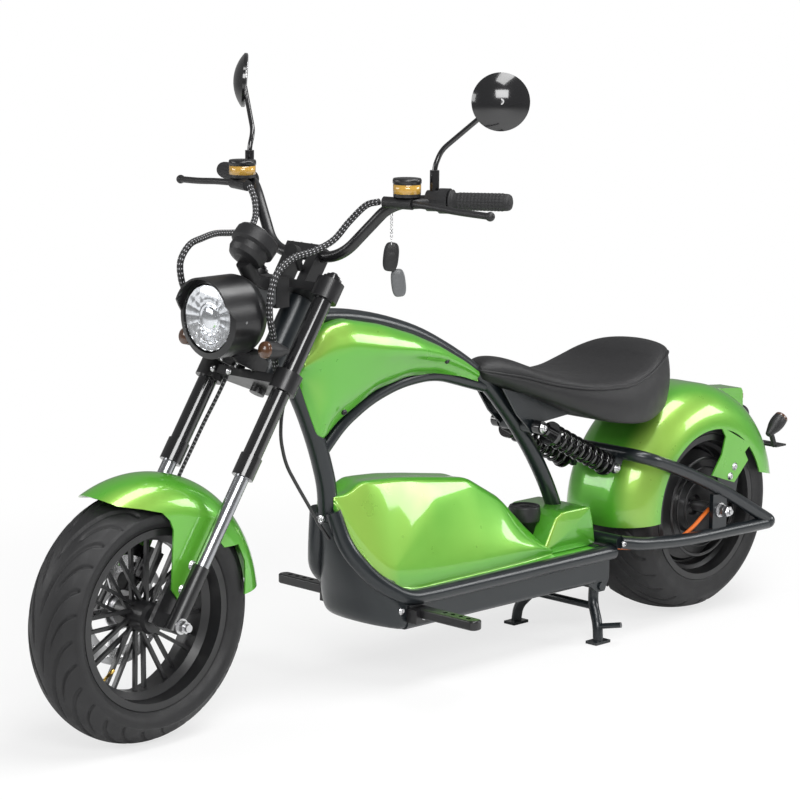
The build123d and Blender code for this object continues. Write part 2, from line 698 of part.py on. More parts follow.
def make_swingarm():
    """Two triangulated side arms joined at the pivot tube and by a hoop ahead of the guard."""
    arm = tube(SWING_LOWER, SWING_R)
    arm += tube(SWING_UPPER, SWING_R)
    arm += Pos(APEX_X, SWING_Y, 187) * Sphere(SWING_R + 3)
    dropout = side_plate([(-DROPOUT_HALF, 178), (DROPOUT_HALF, 180), (DROPOUT_HALF, 276), (-DROPOUT_HALF, 268)],
                         SWING_Y - 5, SWING_Y + 5)
    arm += dropout
    lx, ly, lz = SHOCK_LOW
    tab_points = [(HOOP_X - 14, HOOP_Z + 2), (HOOP_X + 12, HOOP_Z + 6), (lx + 13, lz + 2), (lx + 6, lz - 11),
                  (lx - 8, lz - 12)]
    eye_side = SHOCK_EYE_HALF + FIT_GAP
    arm += side_plate(tab_points, ly + eye_side, ly + eye_side + TAB_T)
    arm += side_plate(tab_points, ly - eye_side - TAB_T, ly - eye_side)
    arm += rod((lx, ly - eye_side - TAB_T - 3, lz), (lx, ly + eye_side + TAB_T + 3, lz), SHOCK_PIN_R)
    arms = arm + mirrored(arm)
    arms += bar_across(HOOP_X, HOOP_Z, 42, SWING_R)
    arms += bar_across(SWING_PIVOT[0], SWING_PIVOT[1], SWING_Y - 10, SWING_R)
    arms -= bar_across(0, REAR_TYRE_R, 200, REAR_AXLE_R)
    return arms - cradle_rails - battery_box - battery_cover


swingarm = make_swingarm()


def make_rear_axle():
    """Motor axle with a nut and washer outside each dropout."""
    seat_y = SWING_Y + 5
    half = rod((0, 0, 0), (0, REAR_AXLE_END, 0), REAR_AXLE_R)
    half += rod((0, seat_y + FIT_GAP, 0), (0, seat_y + 3, 0), 16)
    half += extrude(Plane(origin=(0, seat_y + 3, 0), z_dir=(0, 1, 0)) * RegularPolygon(13, 6), amount=11)
    half += rod((0, 69, 0), (0, SWING_Y - 5 - FIT_GAP, 0), REAR_AXLE_R + 4)
    return Pos(*REAR_AXLE) * (half + mirrored(half))


rear_axle = make_rear_axle()

SHOCK_EYE_R = 13.0
SHOCK_EYE_WALL = 6.0
DAMPER_R = 14.5
SPRING_R = 24.5
SPRING_LOW = 27.0
SPRING_HIGH = 42.0
SPRING_RINGS = 10


def shock_plane():
    """Plane at the lower eye with z towards the upper eye."""
    low = Vector(*SHOCK_LOW)
    return Plane(origin=low, z_dir=Vector(*SHOCK_TOP) - low, x_dir=(0, 1, 0))


SHOCK_LENGTH = (Vector(*SHOCK_TOP) - Vector(*SHOCK_LOW)).length


def make_shock():
    """Damper body, rod, spring seats and two eyes."""
    spring_top = SHOCK_LENGTH - SPRING_HIGH
    body = Pos(0, 0, (SPRING_LOW + 100) / 2) * Cylinder(DAMPER_R, 100 - SPRING_LOW + 10)
    body += Pos(0, 0, SHOCK_LENGTH / 2) * Cylinder(6, SHOCK_LENGTH - 24)
    body += Pos(0, 0, SPRING_LOW - 3) * Cylinder(SPRING_R + 1.5, 6)
    body += Pos(0, 0, spring_top + 3) * Cylinder(SPRING_R + 1.5, 6)
    body += Pos(0, 0, spring_top + 16) * Cylinder(SHOCK_EYE_R, 22)
    body += Pos(0, 0, SPRING_LOW / 2) * Cylinder(8, SPRING_LOW - 4)
    placed = shock_plane() * body
    for eye, pin in ((SHOCK_LOW, SHOCK_PIN_R), (SHOCK_TOP, SHOCK_BAR_R)):
        side = Vector(0, SHOCK_EYE_HALF, 0)
        ends = (Vector(*eye) - side, Vector(*eye) + side)
        placed += rod(*ends, pin + SHOCK_EYE_WALL)
        placed -= rod(*ends, pin + FIT_GAP)
    return placed


def make_spring():
    """Spring round the damper, drawn as a sleeve with one ring for each coil."""
    low = SPRING_LOW + FIT_GAP
    high = SHOCK_LENGTH - SPRING_HIGH - FIT_GAP
    pitch = (high - low) / SPRING_RINGS
    inner = DAMPER_R + FIT_GAP
    outline = [(inner, low), (SPRING_R - 6, low)]
    for ring in range(SPRING_RINGS):
        z = low + ring * pitch
        outline += [(SPRING_R, z + 0.3 * pitch), (SPRING_R, z + 0.6 * pitch), (SPRING_R - 6, z + 0.95 * pitch)]
    outline += [(SPRING_R - 6, high), (inner, high)]
    face = Plane.XZ * make_face(Polyline(*outline, close=True))
    return shock_plane() * revolve(face, axis=Axis.Z)


shock_left = make_shock()
shocks = both_sides(shock_left)
shock_springs = both_sides(make_spring())

# Rear mudguard
REAR_GUARD_CORNER = 90.0
REAR_LEG_BOLTS = [(-76.0, 322.0), (-61.0, 302.0)]
HUMP_HALF_W = 30.0


def make_rear_guard():
    """Deep mudguard with side skirts, a bolted leg over each swingarm tube and a lamp hump."""
    section = guard_section(REAR_GUARD_R, REAR_GUARD_HALF_W, REAR_SKIRT_R, REAR_GUARD_CORNER, REAR_GUARD_WALL)
    guard = spun_face(section, REAR_AXLE, 174, -3)
    c = REAR_AXLE
    tail_cut = [polar(c, 165, 158), polar(c, 240, 170), polar(c, 300, 171), polar(c, 300, 190), polar(c, 100, 190)]
    reach = REAR_GUARD_HALF_W + 5
    guard -= side_plate(tail_cut, -reach, reach)
    leg_points = [polar(c, 182, 98), (-42, 393), (-30, 354), (2, 312), (-76, 286), (-123, 330), (-111, 350),
                  polar(c, 182, 136)]
    leg = side_plate(leg_points, REAR_GUARD_HALF_W - REAR_GUARD_WALL, REAR_GUARD_HALF_W)
    for x, z in REAR_LEG_BOLTS:
        leg -= rod((x, 0, z), (x, 200, z), 4)
    hump = side_plate([(-126, 460), (-131, 479), (-206, 472), (-212, 464), (-214, 424), (-190, 410)],
                      -HUMP_HALF_W, HUMP_HALF_W)
    hump -= spun([(-60, 0.1), (-60, REAR_GUARD_R - 1), (60, REAR_GUARD_R - 1), (60, 0.1)], REAR_AXLE)
    return guard + leg + mirrored(leg) + hump


rear_guard = make_rear_guard()


def make_guard_tab():
    """Tab inside the mudguard's leg, welded to the swingarm's upper tube."""
    tab = side_plate([(-22, 306), (-66, 322), (-100, 316), (-84, 250), (-22, 282)], 110.8, 116.2)
    bridge = side_plate([(-30, 268), (-76, 246), (-70, 262), (-30, 280)], 110.8, SWING_Y - 8)
    return tab + bridge


swing_tab = make_guard_tab()
swingarm = swingarm + swing_tab + mirrored(swing_tab)
swingarm = swingarm - rear_guard


def make_tail_light():
    """Low red lens on the rear face of the mudguard's hump."""
    lens = side_plate([(-212, 461), (-219, 457), (-219, 447), (-214, 443)], 4 - HUMP_HALF_W, HUMP_HALF_W - 4)
    return lens - rear_guard


tail_light = make_tail_light()


STRAP_Z = 337.0
STRAP_T = 4.0
STRAP_W = 36.0
STRAP_HALF_Y = 88.0
STRAP_SLOT_Y = 52.0
STRAP_SLOT_L = 28.0
STRAP_SLOT_R = 3.5
SIGNAL_Y = 80.0
SIGNAL_LOW = (-245.0, SIGNAL_Y, 366.0)
SIGNAL_HIGH = (-293.0, SIGNAL_Y, 401.0)


def make_rear_bracket():
    """Slotted cross strap behind the mudguard with its stay, signal stalks and two rubber domes."""
    strap_x = REAR_REACH + STRAP_W / 2
    strap = Pos(strap_x, 0, STRAP_Z) * Box(STRAP_W, 2 * STRAP_HALF_Y, STRAP_T)
    for side in (-1, 1):
        slot = Pos(strap_x, side * STRAP_SLOT_Y, STRAP_Z - STRAP_T) * SlotOverall(STRAP_SLOT_L, 2 * STRAP_SLOT_R, 90)
        strap -= extrude(slot, amount=2 * STRAP_T)
    half_t = STRAP_T / 2
    stay = side_plate([(-215, 386), (-240, STRAP_Z - half_t), (REAR_REACH, STRAP_Z - half_t),
                       (REAR_REACH, STRAP_Z + half_t), (-262, STRAP_Z + half_t), (-272, 372), (-250, 400)], -16, 16)
    crown = spun([(-60, 0.1), (-60, REAR_GUARD_R + FIT_GAP), (60, REAR_GUARD_R + FIT_GAP), (60, 0.1)], REAR_AXLE)
    bracket = strap + stay
    bracket += Pos(-241, 0, 404) * Sphere(22)
    bracket += Pos(-268, 0, 378) * Sphere(17)
    for side in (-1, 1):
        bracket += rod((-270, side * SIGNAL_Y, STRAP_Z), (-256, side * SIGNAL_Y, 368), 6)
    return bracket - crown


rear_bracket = make_rear_bracket()


def signal_body(tip, tail, radius):
    """Bullet-shaped lamp: domed lens end and a tapered back."""
    tip = Vector(*tip)
    tail = Vector(*tail)
    axis = tail - tip
    length = axis.length
    outline = Curve() + [
        Line((0, 0), (radius * 0.9, 0)),
        ThreePointArc((radius * 0.9, 0), (radius, length * 0.3), (radius * 0.86, length * 0.6)),
        Line((radius * 0.86, length * 0.6), (radius * 0.4, length)),
        Line((radius * 0.4, length), (0, length)),
        Line((0, length), (0, 0)),
    ]
    body = revolve(Plane.XZ * make_face(outline), axis=Axis.Z)
    return Plane(origin=tip, z_dir=axis, x_dir=(0, 1, 0)) * body


def make_rear_signals():
    """Pair of rear turn signals on the strap's stalks."""
    lamp = signal_body(SIGNAL_HIGH, SIGNAL_LOW, 17)
    return both_sides(lamp - rear_bracket)


rear_signals = make_rear_signals()

# Foot pegs on the battery box's front corners
PEG_X = 921.0
PEG_Z = 164.0
PEG_ROOT_Y = 130.0
PEG_TIP_Y = 282.0
PEG_THICK = 20.0


def make_foot_pegs():
    """Slotted step bars with a clevis root, one each side."""
    length = PEG_TIP_Y - PEG_ROOT_Y
    root = Pos(PEG_X + 4, BOX_HALF_W + 14, PEG_Z - 6) * Box(46, 28, 28)
    bar = Pos(PEG_X, PEG_ROOT_Y + length / 2, PEG_Z) * Box(30, length, PEG_THICK)
    bar = fillet(bar.edges().filter_by(Axis.Z).sort_by(Axis.Y)[2:], 13)
    bar = fillet(bar.edges().filter_by(Axis.Y), 4)
    for step in range(4):
        bar -= Pos(PEG_X, PEG_TIP_Y - 28 - 21 * step, PEG_Z) * Cylinder(5, 40)
    return both_sides(root + bar)


foot_pegs = make_foot_pegs()

# Handlebar in the machine's frame
bar_centre = fork_point(BAR_CENTRE_N, 0, BAR_CENTRE_T)
bx = bar_centre.X
bz = bar_centre.Z
BAR = [(bx, 0, bz), (bx, 92, bz + 2), (1082, 185, 992), (1050, 232, 1004), (978, 398, 1009)]


def make_handlebar():
    """One bent tube: flat centre, risers and swept back ends."""
    half = tube(BAR, BAR_R)
    return half + mirrored(half)


handlebar = make_handlebar()


def make_bar_clamp():
    """Two risers on the upper yoke with one cap over the bar."""
    base = UPPER_CLAMP_T + CLAMP_THICK / 2 - WEB_INSET
    riser = Pos(BAR_CENTRE_N, 34, (base + BAR_CENTRE_T) / 2) * Box(34, 24, BAR_CENTRE_T - base)
    cap = Pos(BAR_CENTRE_N, 0, BAR_CENTRE_T + 8) * Box(36, 96, 18)
    clamp = riser + mirrored(riser) + cap
    return (FORK * clamp) - rod((bx, -60, bz), (bx, 60, bz), BAR_R) - handlebar - steering_stem - upper_clamp


bar_clamp = make_bar_clamp()

GRIP_IN = 290.0


def bar_end_plane():
    """Plane at the grip's inner end with z along the bar's outer run."""
    inner = Vector(*BAR[3])
    outer = Vector(*BAR[4])
    axis = (outer - inner).normalized()
    at = (GRIP_IN - inner.Y) / axis.Y
    return Plane(origin=inner + axis * at, z_dir=axis, x_dir=(0, 0, 1))


GRIP_LENGTH = 122.0


def make_grips():
    """Rubber grips with a flange at the inner end and a domed outer end."""
    outline = Curve() + [
        Line((BAR_R + FIT_GAP, 0), (GRIP_R + 5, 0)),
        Line((GRIP_R + 5, 0), (GRIP_R + 5, 5)),
        Line((GRIP_R + 5, 5), (GRIP_R, 9)),
        Line((GRIP_R, 9), (GRIP_R - 1, GRIP_LENGTH - 8)),
        ThreePointArc((GRIP_R - 1, GRIP_LENGTH - 8), (GRIP_R - 5, GRIP_LENGTH - 2), (BAR_R, GRIP_LENGTH)),
        Line((BAR_R, GRIP_LENGTH), (BAR_R + FIT_GAP, 0)),
    ]
    sleeve = revolve(Plane.XZ * make_face(outline), axis=Axis.Z)
    return both_sides((bar_end_plane() * sleeve) - handlebar)


grips = make_grips()


def make_brake_levers():
    """Master cylinder with a fluid pot, clamp and ball-ended lever on each side."""
    plane = bar_end_plane()
    clamp = plane * (Pos(0, 0, -34) * (Cylinder(20, 24) - Cylinder(BAR_R, 30)))
    switch = plane * (Pos(0, 0, -11) * (Cylinder(24, 20) - Cylinder(BAR_R, 30)))
    body = rod((1102, 190, 1001), (1086, 250, 1001), 11)
    pot = Pos(1080, 229, 1030) * Cylinder(26, 34)
    pot_neck = Pos(1080, 229, 1009) * Cylinder(12, 16)
    perch = rod((1086, 246, 1001), (1040, 262, 1001), 10)
    lever = tube([(1086, 252, 1001), (1086, 300, 1000), (1079, 360, 995), (1066, 430, 992)], 6.5)
    ball = Pos(1066, 430, 992) * Sphere(9)
    group = clamp + switch + body + pot + pot_neck + perch + lever + ball
    return both_sides(group - handlebar - grips)


brake_levers = make_brake_levers()


MIRROR_R = 55.0
MIRROR_AT = (962.0, 356.0, 1193.0)
MIRROR_FACING = (0.72, 0.69, 0.06)


def make_mirrors():
    """Round mirror heads with domed backs on bent stems that stand on the lever clamps."""
    stem = tube([(1035, 257, 1044), (1035, 257, 1068), (1022, 261, 1099), (972, 340, 1180)], 5)
    boot = rod((1035, 257, 1012), (1035, 257, 1062), 9)
    arm = ((boot - brake_levers) + stem).solids().sort_by(SortBy.VOLUME)[-1]
    outline = Curve() + [
        Line((0, -7), (MIRROR_R - 2, -7)),
        Line((MIRROR_R - 2, -7), (MIRROR_R, -5)),
        Line((MIRROR_R, -5), (MIRROR_R, 0)),
        ThreePointArc((MIRROR_R, 0), dome_middle(MIRROR_R, 0, 20), (0, 20)),
        Line((0, 20), (0, -7)),
    ]
    place = Plane(origin=MIRROR_AT, z_dir=MIRROR_FACING, x_dir=(0, 0, 1))
    head = place * revolve(Plane.XZ * make_face(outline), axis=Axis.Z)
    return both_sides(arm + head)


mirrors = make_mirrors()

# Headlight, its lens, the dial and the front signals
LAMP_Z = 786.0
LAMP_FRONT_X = 1376.0
LAMP_R = 78.0
LAMP_DEPTH = 70.0
HOOD_REACH = 18.0


def make_headlight():
    """Round lamp shell with a visor, a domed back and a bracket to the lower yoke."""
    outline = Curve() + [
        Line((0, -LAMP_DEPTH - 40), (LAMP_R - 30, -LAMP_DEPTH - 32)),
        ThreePointArc((LAMP_R - 30, -LAMP_DEPTH - 32), (LAMP_R - 8, -LAMP_DEPTH - 14), (LAMP_R, -LAMP_DEPTH + 6)),
        Line((LAMP_R, -LAMP_DEPTH + 6), (LAMP_R, 0)),
        Line((LAMP_R, 0), (LAMP_R - 12, 4)),
        Line((LAMP_R - 12, 4), (LAMP_R - 14, -6)),
        Line((LAMP_R - 14, -6), (0, -6)),
        Line((0, -6), (0, -LAMP_DEPTH - 40)),
    ]
    place = Plane(origin=(LAMP_FRONT_X, 0, LAMP_Z), x_dir=(0, 1, 0), z_dir=(1, 0, 0))
    shell = place * revolve(Plane.XZ * make_face(outline), axis=Axis.Z)
    hood = place * (Pos(0, 0, HOOD_REACH / 2) * (Cylinder(LAMP_R, HOOD_REACH) - Cylinder(LAMP_R - 4, 40)))
    keep = side_plate([(LAMP_FRONT_X - 4, LAMP_Z), (LAMP_FRONT_X + HOOD_REACH, LAMP_Z + 30),
                       (LAMP_FRONT_X + HOOD_REACH, LAMP_Z + 100), (LAMP_FRONT_X - 4, LAMP_Z + 100)], -100, 100)
    shell += hood & keep
    arm = side_plate([(1300, 728), (1340, 712), (1330, 700), (1262, 668), (1250, 690), (1280, 720)], 26, 32)
    shell += arm + mirrored(arm)
    return shell - lower_clamp


headlight_shell = make_headlight()


LENS_SEAT = -5.7
LENS_EDGE = -2.0
LENS_RISE = 10.0


def make_lens():
    """Slightly domed glass in the lamp's mouth."""
    radius = LAMP_R - 14.5
    outline = Curve() + [
        Line((0, LENS_SEAT), (radius, LENS_SEAT)),
        Line((radius, LENS_SEAT), (radius, LENS_EDGE)),
        ThreePointArc((radius, LENS_EDGE), dome_middle(radius, LENS_EDGE, LENS_RISE), (0, LENS_EDGE + LENS_RISE)),
        Line((0, LENS_EDGE + LENS_RISE), (0, LENS_SEAT)),
    ]
    place = Plane(origin=(LAMP_FRONT_X, 0, LAMP_Z), x_dir=(0, 1, 0), z_dir=(1, 0, 0))
    return place * revolve(Plane.XZ * make_face(outline), axis=Axis.Z)


headlight_lens = make_lens()

DIAL_FACE = (1247.0, 0.0, 929.0)


def make_speedometer():
    """Stepped round instrument tilted back towards the rider, with its stay."""
    plane = Plane(origin=DIAL_FACE, z_dir=(1, 0, -1), x_dir=(0, 1, 0))
    outline = [(0, 0), (42, 0), (45, 4), (45, 26), (38, 31), (38, 44), (33, 54), (20, 58), (0, 58)]
    pod = plane * revolve(Plane.XZ * make_face(Polyline(*outline, close=True)), axis=Axis.Z)
    neck = rod((1284, 0, 884), (1262, 0, 848), 17)
    stay = side_plate([(1275, 862), (1262, 838), (1195, 812), (1188, 826), (1245, 856)], -14, 14)
    return (pod + neck + stay) - upper_clamp - headlight_shell - steering_stem - bar_clamp


speedometer = make_speedometer()


def make_front_box():
    """Relay box and ignition switch ahead of the upper yoke."""
    box = Pos(1212, 0, 822) * Box(34, 60, 58)
    switch = rod((1176, 26, 896), (1196, 34, 902), 13)
    post = rod((1178, 27, 897), (1160, 24, 862), 7)
    return (box + switch + post) - upper_clamp - speedometer - bar_clamp


switch_box = make_front_box()


def make_front_signals():
    """Pair of front turn signals on stalks from the lamp bracket."""
    lamp = signal_body((1338, 112, 735), (1278, 112, 726), 17)
    stalk = rod((1296, 112, 728), (1296, 30, 716), 5)
    return both_sides((lamp + stalk) - headlight_shell)


front_signals = make_front_signals()

# Hoses and cables, each held at both ends
HOSE_R = 3.75
LOOM_R = 3.5
MOTOR_CABLE_R = 4.5
LEFT_HOSE = [(1105, 180, 1001), (1112, 152, 992), (1126, 122, 960), (1150, 104, 925), (1190, 92, 906),
             (1236, 84, 896), (1276, 84, 872), (1296, 86, 832), (1300, 88, 790), (1288, 84, 752),
             (1276, 75, 708), (1264, 71, 668)]
RIGHT_HOSE = [(1105, -180, 1001), (1110, -160, 975), (1122, -146, 943), (1156, -132, 920), (1206, -122, 922),
              (1258, -110, 926), (1306, -96, 922), (1348, -84, 914), (1374, -80, 886), (1372, -80, 850),
              (1354, -84, 818), (1330, -90, 784), (1304, -90, 756), (1284, -82, 730), (1274, -75, 700),
              (1264, -71, 668)]
# In the fork's own frame, from the lower yoke to the caliper
CALIPER_HOSE = [(-14, -72, 497), (-22, -82, 455), (-30, -94, 405), (-31, -96, 350), (-31, -96.5, 292),
                (-32, -96, 238), (-38, -90, 188), (-43, -76, 150), (-38, -60, 128), (-26, -53, 118)]
LOOM = [(1170, 8, 638), (1190, 14, 616), (1206, 20, 580), (1208, 20, 536), (1194, 20, 484), (1162, 20, 436),
        (1128, 20, 388), (1096, 16, 346), (1068, 12, 316)]
MOTOR_CABLE = [(318, 118, 200), (262, 118, 190), (204, 118, 184), (146, 118, 182), (100, 120, 190),
               (64, 122, 208), (36, 124, 228), (11, 120, 238)]


def make_brake_hoses():
    """Hose from each lever to the lower yoke, and from there down to the caliper."""
    left = cord("left hose", LEFT_HOSE, HOSE_R) - lower_clamp - brake_levers
    right = cord("right hose", RIGHT_HOSE, HOSE_R) - lower_clamp - brake_levers
    along_leg = [fork_point(*p) for p in CALIPER_HOSE]
    low = cord("caliper hose", [(p.X, p.Y, p.Z) for p in along_leg], HOSE_R) - lower_clamp - front_caliper
    return Compound(children=[left.solids().sort_by(SortBy.VOLUME)[-1], right.solids().sort_by(SortBy.VOLUME)[-1],
                              low.solids().sort_by(SortBy.VOLUME)[-1]])


brake_hoses = make_brake_hoses()
wiring_loom = cord("loom", LOOM, LOOM_R) - down_tube - front_shield
motor_cable = cord("motor cable", MOTOR_CABLE, MOTOR_CABLE_R) - swingarm - rear_axle


# Centre stand
def make_centre_stand():
    """Two legs joined by cross bars, with flat feet and a toe peg."""
    px, pz = STAND_PIVOT
    fx = STAND_FOOT_X
    fy = STAND_FOOT_Y
    top_y = STAND_PLATE_Y - STAND_LEG_R - STAND_SIDE_GAP
    leg = tube([(px, top_y, pz), (px + 2, top_y, pz - 40), (fx - 2, fy - 4, 40), (fx, fy, 4)], STAND_LEG_R)
    foot = Pos(fx, fy, 3) * Box(46, 30, 6)
    knee = leg + foot
    stand = knee + mirrored(knee)
    stand += bar_across(px, pz, 108, STAND_PIN_R)
    stand += bar_across(px + 4, pz - 46, 90, 8)
    toe = rod((fx - 2, fy, 36), (fx - 20, fy + 46, 44), 6)
    return stand + toe


centre_stand = make_centre_stand()


def make_stand_bracket():
    """Cheek plates under the rear of the box that carry the stand's pivot."""
    px, pz = STAND_PIVOT
    plate = side_plate([(px - 26, 176), (px + 40, 176), (px + 40, BOX_BOTTOM_Z), (px + 12, pz - 12),
                        (px - 12, pz - 12), (px - 26, pz + 14)], STAND_PLATE_Y, STAND_PLATE_Y + 5)
    return plate - rod((px, 0, pz), (px, 200, pz), STAND_PIN_R + PIN_CLEAR)


stand_plate = make_stand_bracket()
cradle_rails = cradle_rails + (stand_plate - battery_box) + (mirrored(stand_plate) - battery_box)

# Everything above is placed from the rear axle and moves to the origin here
PARTS = {
    "head_tube": head_tube,
    "backbone_tube": backbone,
    "down_tube": down_tube,
    "tank_arch": tank_arch,
    "cradle_rails": cradle_rails,
    "battery_box": battery_box,
    "front_shield": front_shield,
    "battery_cover": battery_cover,
    "charge_cap": charge_cap,
    "tank_halves": tank_halves,
    "seat": seat,
    "seat_bracket": seat_bracket,
    "swingarm": swingarm,
    "rear_axle": rear_axle,
    "shock_bodies": shocks,
    "shock_springs": shock_springs,
    "rear_mudguard": rear_guard,
    "tail_light": tail_light,
    "rear_bracket": rear_bracket,
    "rear_signals": rear_signals,
    "foot_pegs": foot_pegs,
    "wiring_loom": wiring_loom,
    "motor_cable": motor_cable,
    "rear_tyre": rear_tyre,
    "rear_wheel": rear_wheel,
    "steering_stem": steering_stem,
    "lower_clamp": lower_clamp,
    "upper_clamp": upper_clamp,
    "fork_tubes": fork_tubes,
    "stanchions": stanchions,
    "fork_sliders": fork_sliders,
    "front_axle": front_axle,
    "front_mudguard": front_guard,
    "front_caliper": front_caliper,
    "handlebar": handlebar,
    "bar_clamp": bar_clamp,
    "grips": grips,
    "brake_levers": brake_levers,
    "mirrors": mirrors,
    "headlight_shell": headlight_shell,
    "headlight_lens": headlight_lens,
    "speedometer": speedometer,
    "switch_box": switch_box,
    "front_signals": front_signals,
    "brake_hoses": brake_hoses,
    "front_tyre": front_tyre,
    "front_wheel": front_wheel,
    "front_disc": front_disc,
    "centre_stand": centre_stand,
}

os.makedirs("parts", exist_ok=True)
for name, shape in PARTS.items():
    export_step(Pos(-ORIGIN_X, 0, 0) * shape, f"parts/{name}.step")
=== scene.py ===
import logging
import math
from dataclasses import dataclass
from enum import Enum
from functools import lru_cache
from typing import Callable, Sequence

import bmesh
import bpy
import numpy as np
from mathutils import Matrix, Vector


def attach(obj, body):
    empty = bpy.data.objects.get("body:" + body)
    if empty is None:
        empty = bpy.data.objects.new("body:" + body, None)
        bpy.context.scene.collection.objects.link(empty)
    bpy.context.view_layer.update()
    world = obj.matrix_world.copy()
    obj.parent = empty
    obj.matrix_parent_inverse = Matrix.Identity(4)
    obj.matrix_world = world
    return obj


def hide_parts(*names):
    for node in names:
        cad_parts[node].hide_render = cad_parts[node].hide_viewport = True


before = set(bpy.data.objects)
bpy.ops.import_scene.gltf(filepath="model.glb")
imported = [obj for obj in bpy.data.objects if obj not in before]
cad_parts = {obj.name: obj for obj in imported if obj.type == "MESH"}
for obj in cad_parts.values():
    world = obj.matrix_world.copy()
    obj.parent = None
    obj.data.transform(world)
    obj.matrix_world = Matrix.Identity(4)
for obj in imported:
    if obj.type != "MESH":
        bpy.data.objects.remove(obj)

logging.basicConfig(level=logging.INFO, format="%(message)s")
log = logging.getLogger("scooter")

Point = tuple[float, float, float]
Colour = tuple[float, float, float]
Shape = tuple[np.ndarray, Sequence]

# Places are worked out from the rear axle in millimetres, as the frame was, and moved by this much
BOX_CENTRE_X = 745.5
WHEELBASE = 1550.0
FRONT_TYRE_R = 243.0
REAR_TYRE_R = 238.5
RAKE = math.radians(33.3)
LEG_Y = 102.5
# Metres within which a mesh's points become one
WELD_DISTANCE = 1e-6
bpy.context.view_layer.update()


class Body(str, Enum):
    """The moving bodies that the new pieces ride on."""

    FRAME = "frame"
    STEERING = "steering"
    FRONT_WHEEL = "front_wheel"
    REAR_WHEEL = "rear_wheel"


def place(points: np.ndarray) -> np.ndarray:
    """Turns millimetres from the rear axle into metres in the frame.

    Args:
        points: Array whose last axis is x, y, z in millimetres.

    Returns:
        The same array shape in metres.
    """
    return (np.asarray(points, float) - np.array([BOX_CENTRE_X, 0.0, 0.0])) / 1000.0


def fork_place(across: float, left: float, along: float) -> np.ndarray:
    """Millimetre place of a point given across, left of and along the raked fork from the front axle.

    Args:
        across: Distance forwards, square to the legs.
        left: Distance to the rider's left.
        along: Distance up the legs from the axle.

    Returns:
        x, y, z in millimetres from the rear axle.
    """
    s, c = math.sin(RAKE), math.cos(RAKE)
    return np.array([WHEELBASE + across * c - along * s, left, FRONT_TYRE_R + across * s + along * c])


FORK_UP = np.array([-math.sin(RAKE), 0.0, math.cos(RAKE)])
UP = np.array([0.0, 0.0, 1.0])


def unit(vectors: np.ndarray) -> np.ndarray:
    """Vectors scaled to length one along the last axis."""
    return vectors / np.maximum(np.linalg.norm(vectors, axis=-1, keepdims=True), 1e-12)


def make_object(name: str, shape: Shape, finish: "Finish | BraidFinish", body: Body,
                smooth: bool = True) -> bpy.types.Object:
    """Puts a mesh in the scene with its finish and the body it rides on, coincident points welded.

    Args:
        name: Piece name.
        shape: Points in millimetres from the rear axle, and the vertex indices of each face, outwards.
        finish: Surface finish.
        body: Body that carries the piece.
        smooth: Whether faces are shaded smooth.

    Returns:
        The new object.
    """
    points, faces = shape
    mesh = bpy.data.meshes.new(name)
    mesh.from_pydata(place(points.reshape(-1, 3)).tolist(), [], [list(map(int, f)) for f in faces])
    weld = bmesh.new()
    weld.from_mesh(mesh)
    bmesh.ops.remove_doubles(weld, verts=weld.verts, dist=WELD_DISTANCE)
    weld.to_mesh(mesh)
    weld.free()
    mesh.polygons.foreach_set("use_smooth", [smooth] * len(mesh.polygons))
    mesh.update()
    obj = bpy.data.objects.new(name, mesh)
    bpy.context.scene.collection.objects.link(obj)
    mesh.materials.append(material_of(finish))
    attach(obj, body.value)
    log.info("%s: %d faces on %s", name, len(mesh.polygons), body.value)
    return obj


def full_turn(count: int) -> np.ndarray:
    """Evenly spaced angles round a full turn."""
    return np.linspace(0, 2 * np.pi, count, endpoint=False)


def grid_faces(rows: int, columns: int, wrap_rows: bool, wrap_columns: bool) -> np.ndarray:
    """Quads of a grid of points.

    Each quad joins point (i, j) with its neighbours (i, j+1), (i+1, j+1) and (i+1, j).

    Args:
        rows: Points along the first axis.
        columns: Points along the second axis.
        wrap_rows: Whether the last row joins the first.
        wrap_columns: Whether the last column joins the first.

    Returns:
        (m, 4) array of vertex indices.
    """
    i = np.arange(rows if wrap_rows else rows - 1)[:, None]
    j = np.arange(columns if wrap_columns else columns - 1)[None, :]
    i2, j2 = (i + 1) % rows, (j + 1) % columns
    quads = np.stack([i * columns + j, i * columns + j2, i2 * columns + j2, i2 * columns + j], axis=-1)
    return quads.reshape(-1, 4)


def axis_frame(axis: np.ndarray) -> tuple[np.ndarray, np.ndarray, np.ndarray]:
    """Two directions square to an axis, and the axis itself, right-handed."""
    axis = unit(np.asarray(axis, float))
    helper = np.array([0.0, 0.0, 1.0]) if abs(axis[2]) < 0.9 else np.array([1.0, 0.0, 0.0])
    side = unit(np.cross(helper, axis))
    return side, np.cross(axis, side), axis


def lathe(profile: Sequence, centre: Sequence[float], axis: Sequence[float], segments: int) -> Shape:
    """Surface of revolution: point = centre + axis * h + r * (side * cos a + up * sin a).

    Args:
        profile: Rows of radius and height along the axis, closed by its ends on the axis or by its first row.
        centre: Where height is zero.
        axis: Direction of the axis.
        segments: Steps round the axis.

    Returns:
        Points and quads.
    """
    side, up, along = axis_frame(axis)
    a = full_turn(segments)
    ring = np.cos(a)[:, None] * side + np.sin(a)[:, None] * up
    r, h = np.asarray(profile, float).T
    points = np.asarray(centre, float) + r[None, :, None] * ring[:, None, :] + h[None, :, None] * along
    faces = grid_faces(segments, len(r), True, False)
    return points.reshape(-1, 3), faces[:, ::-1]


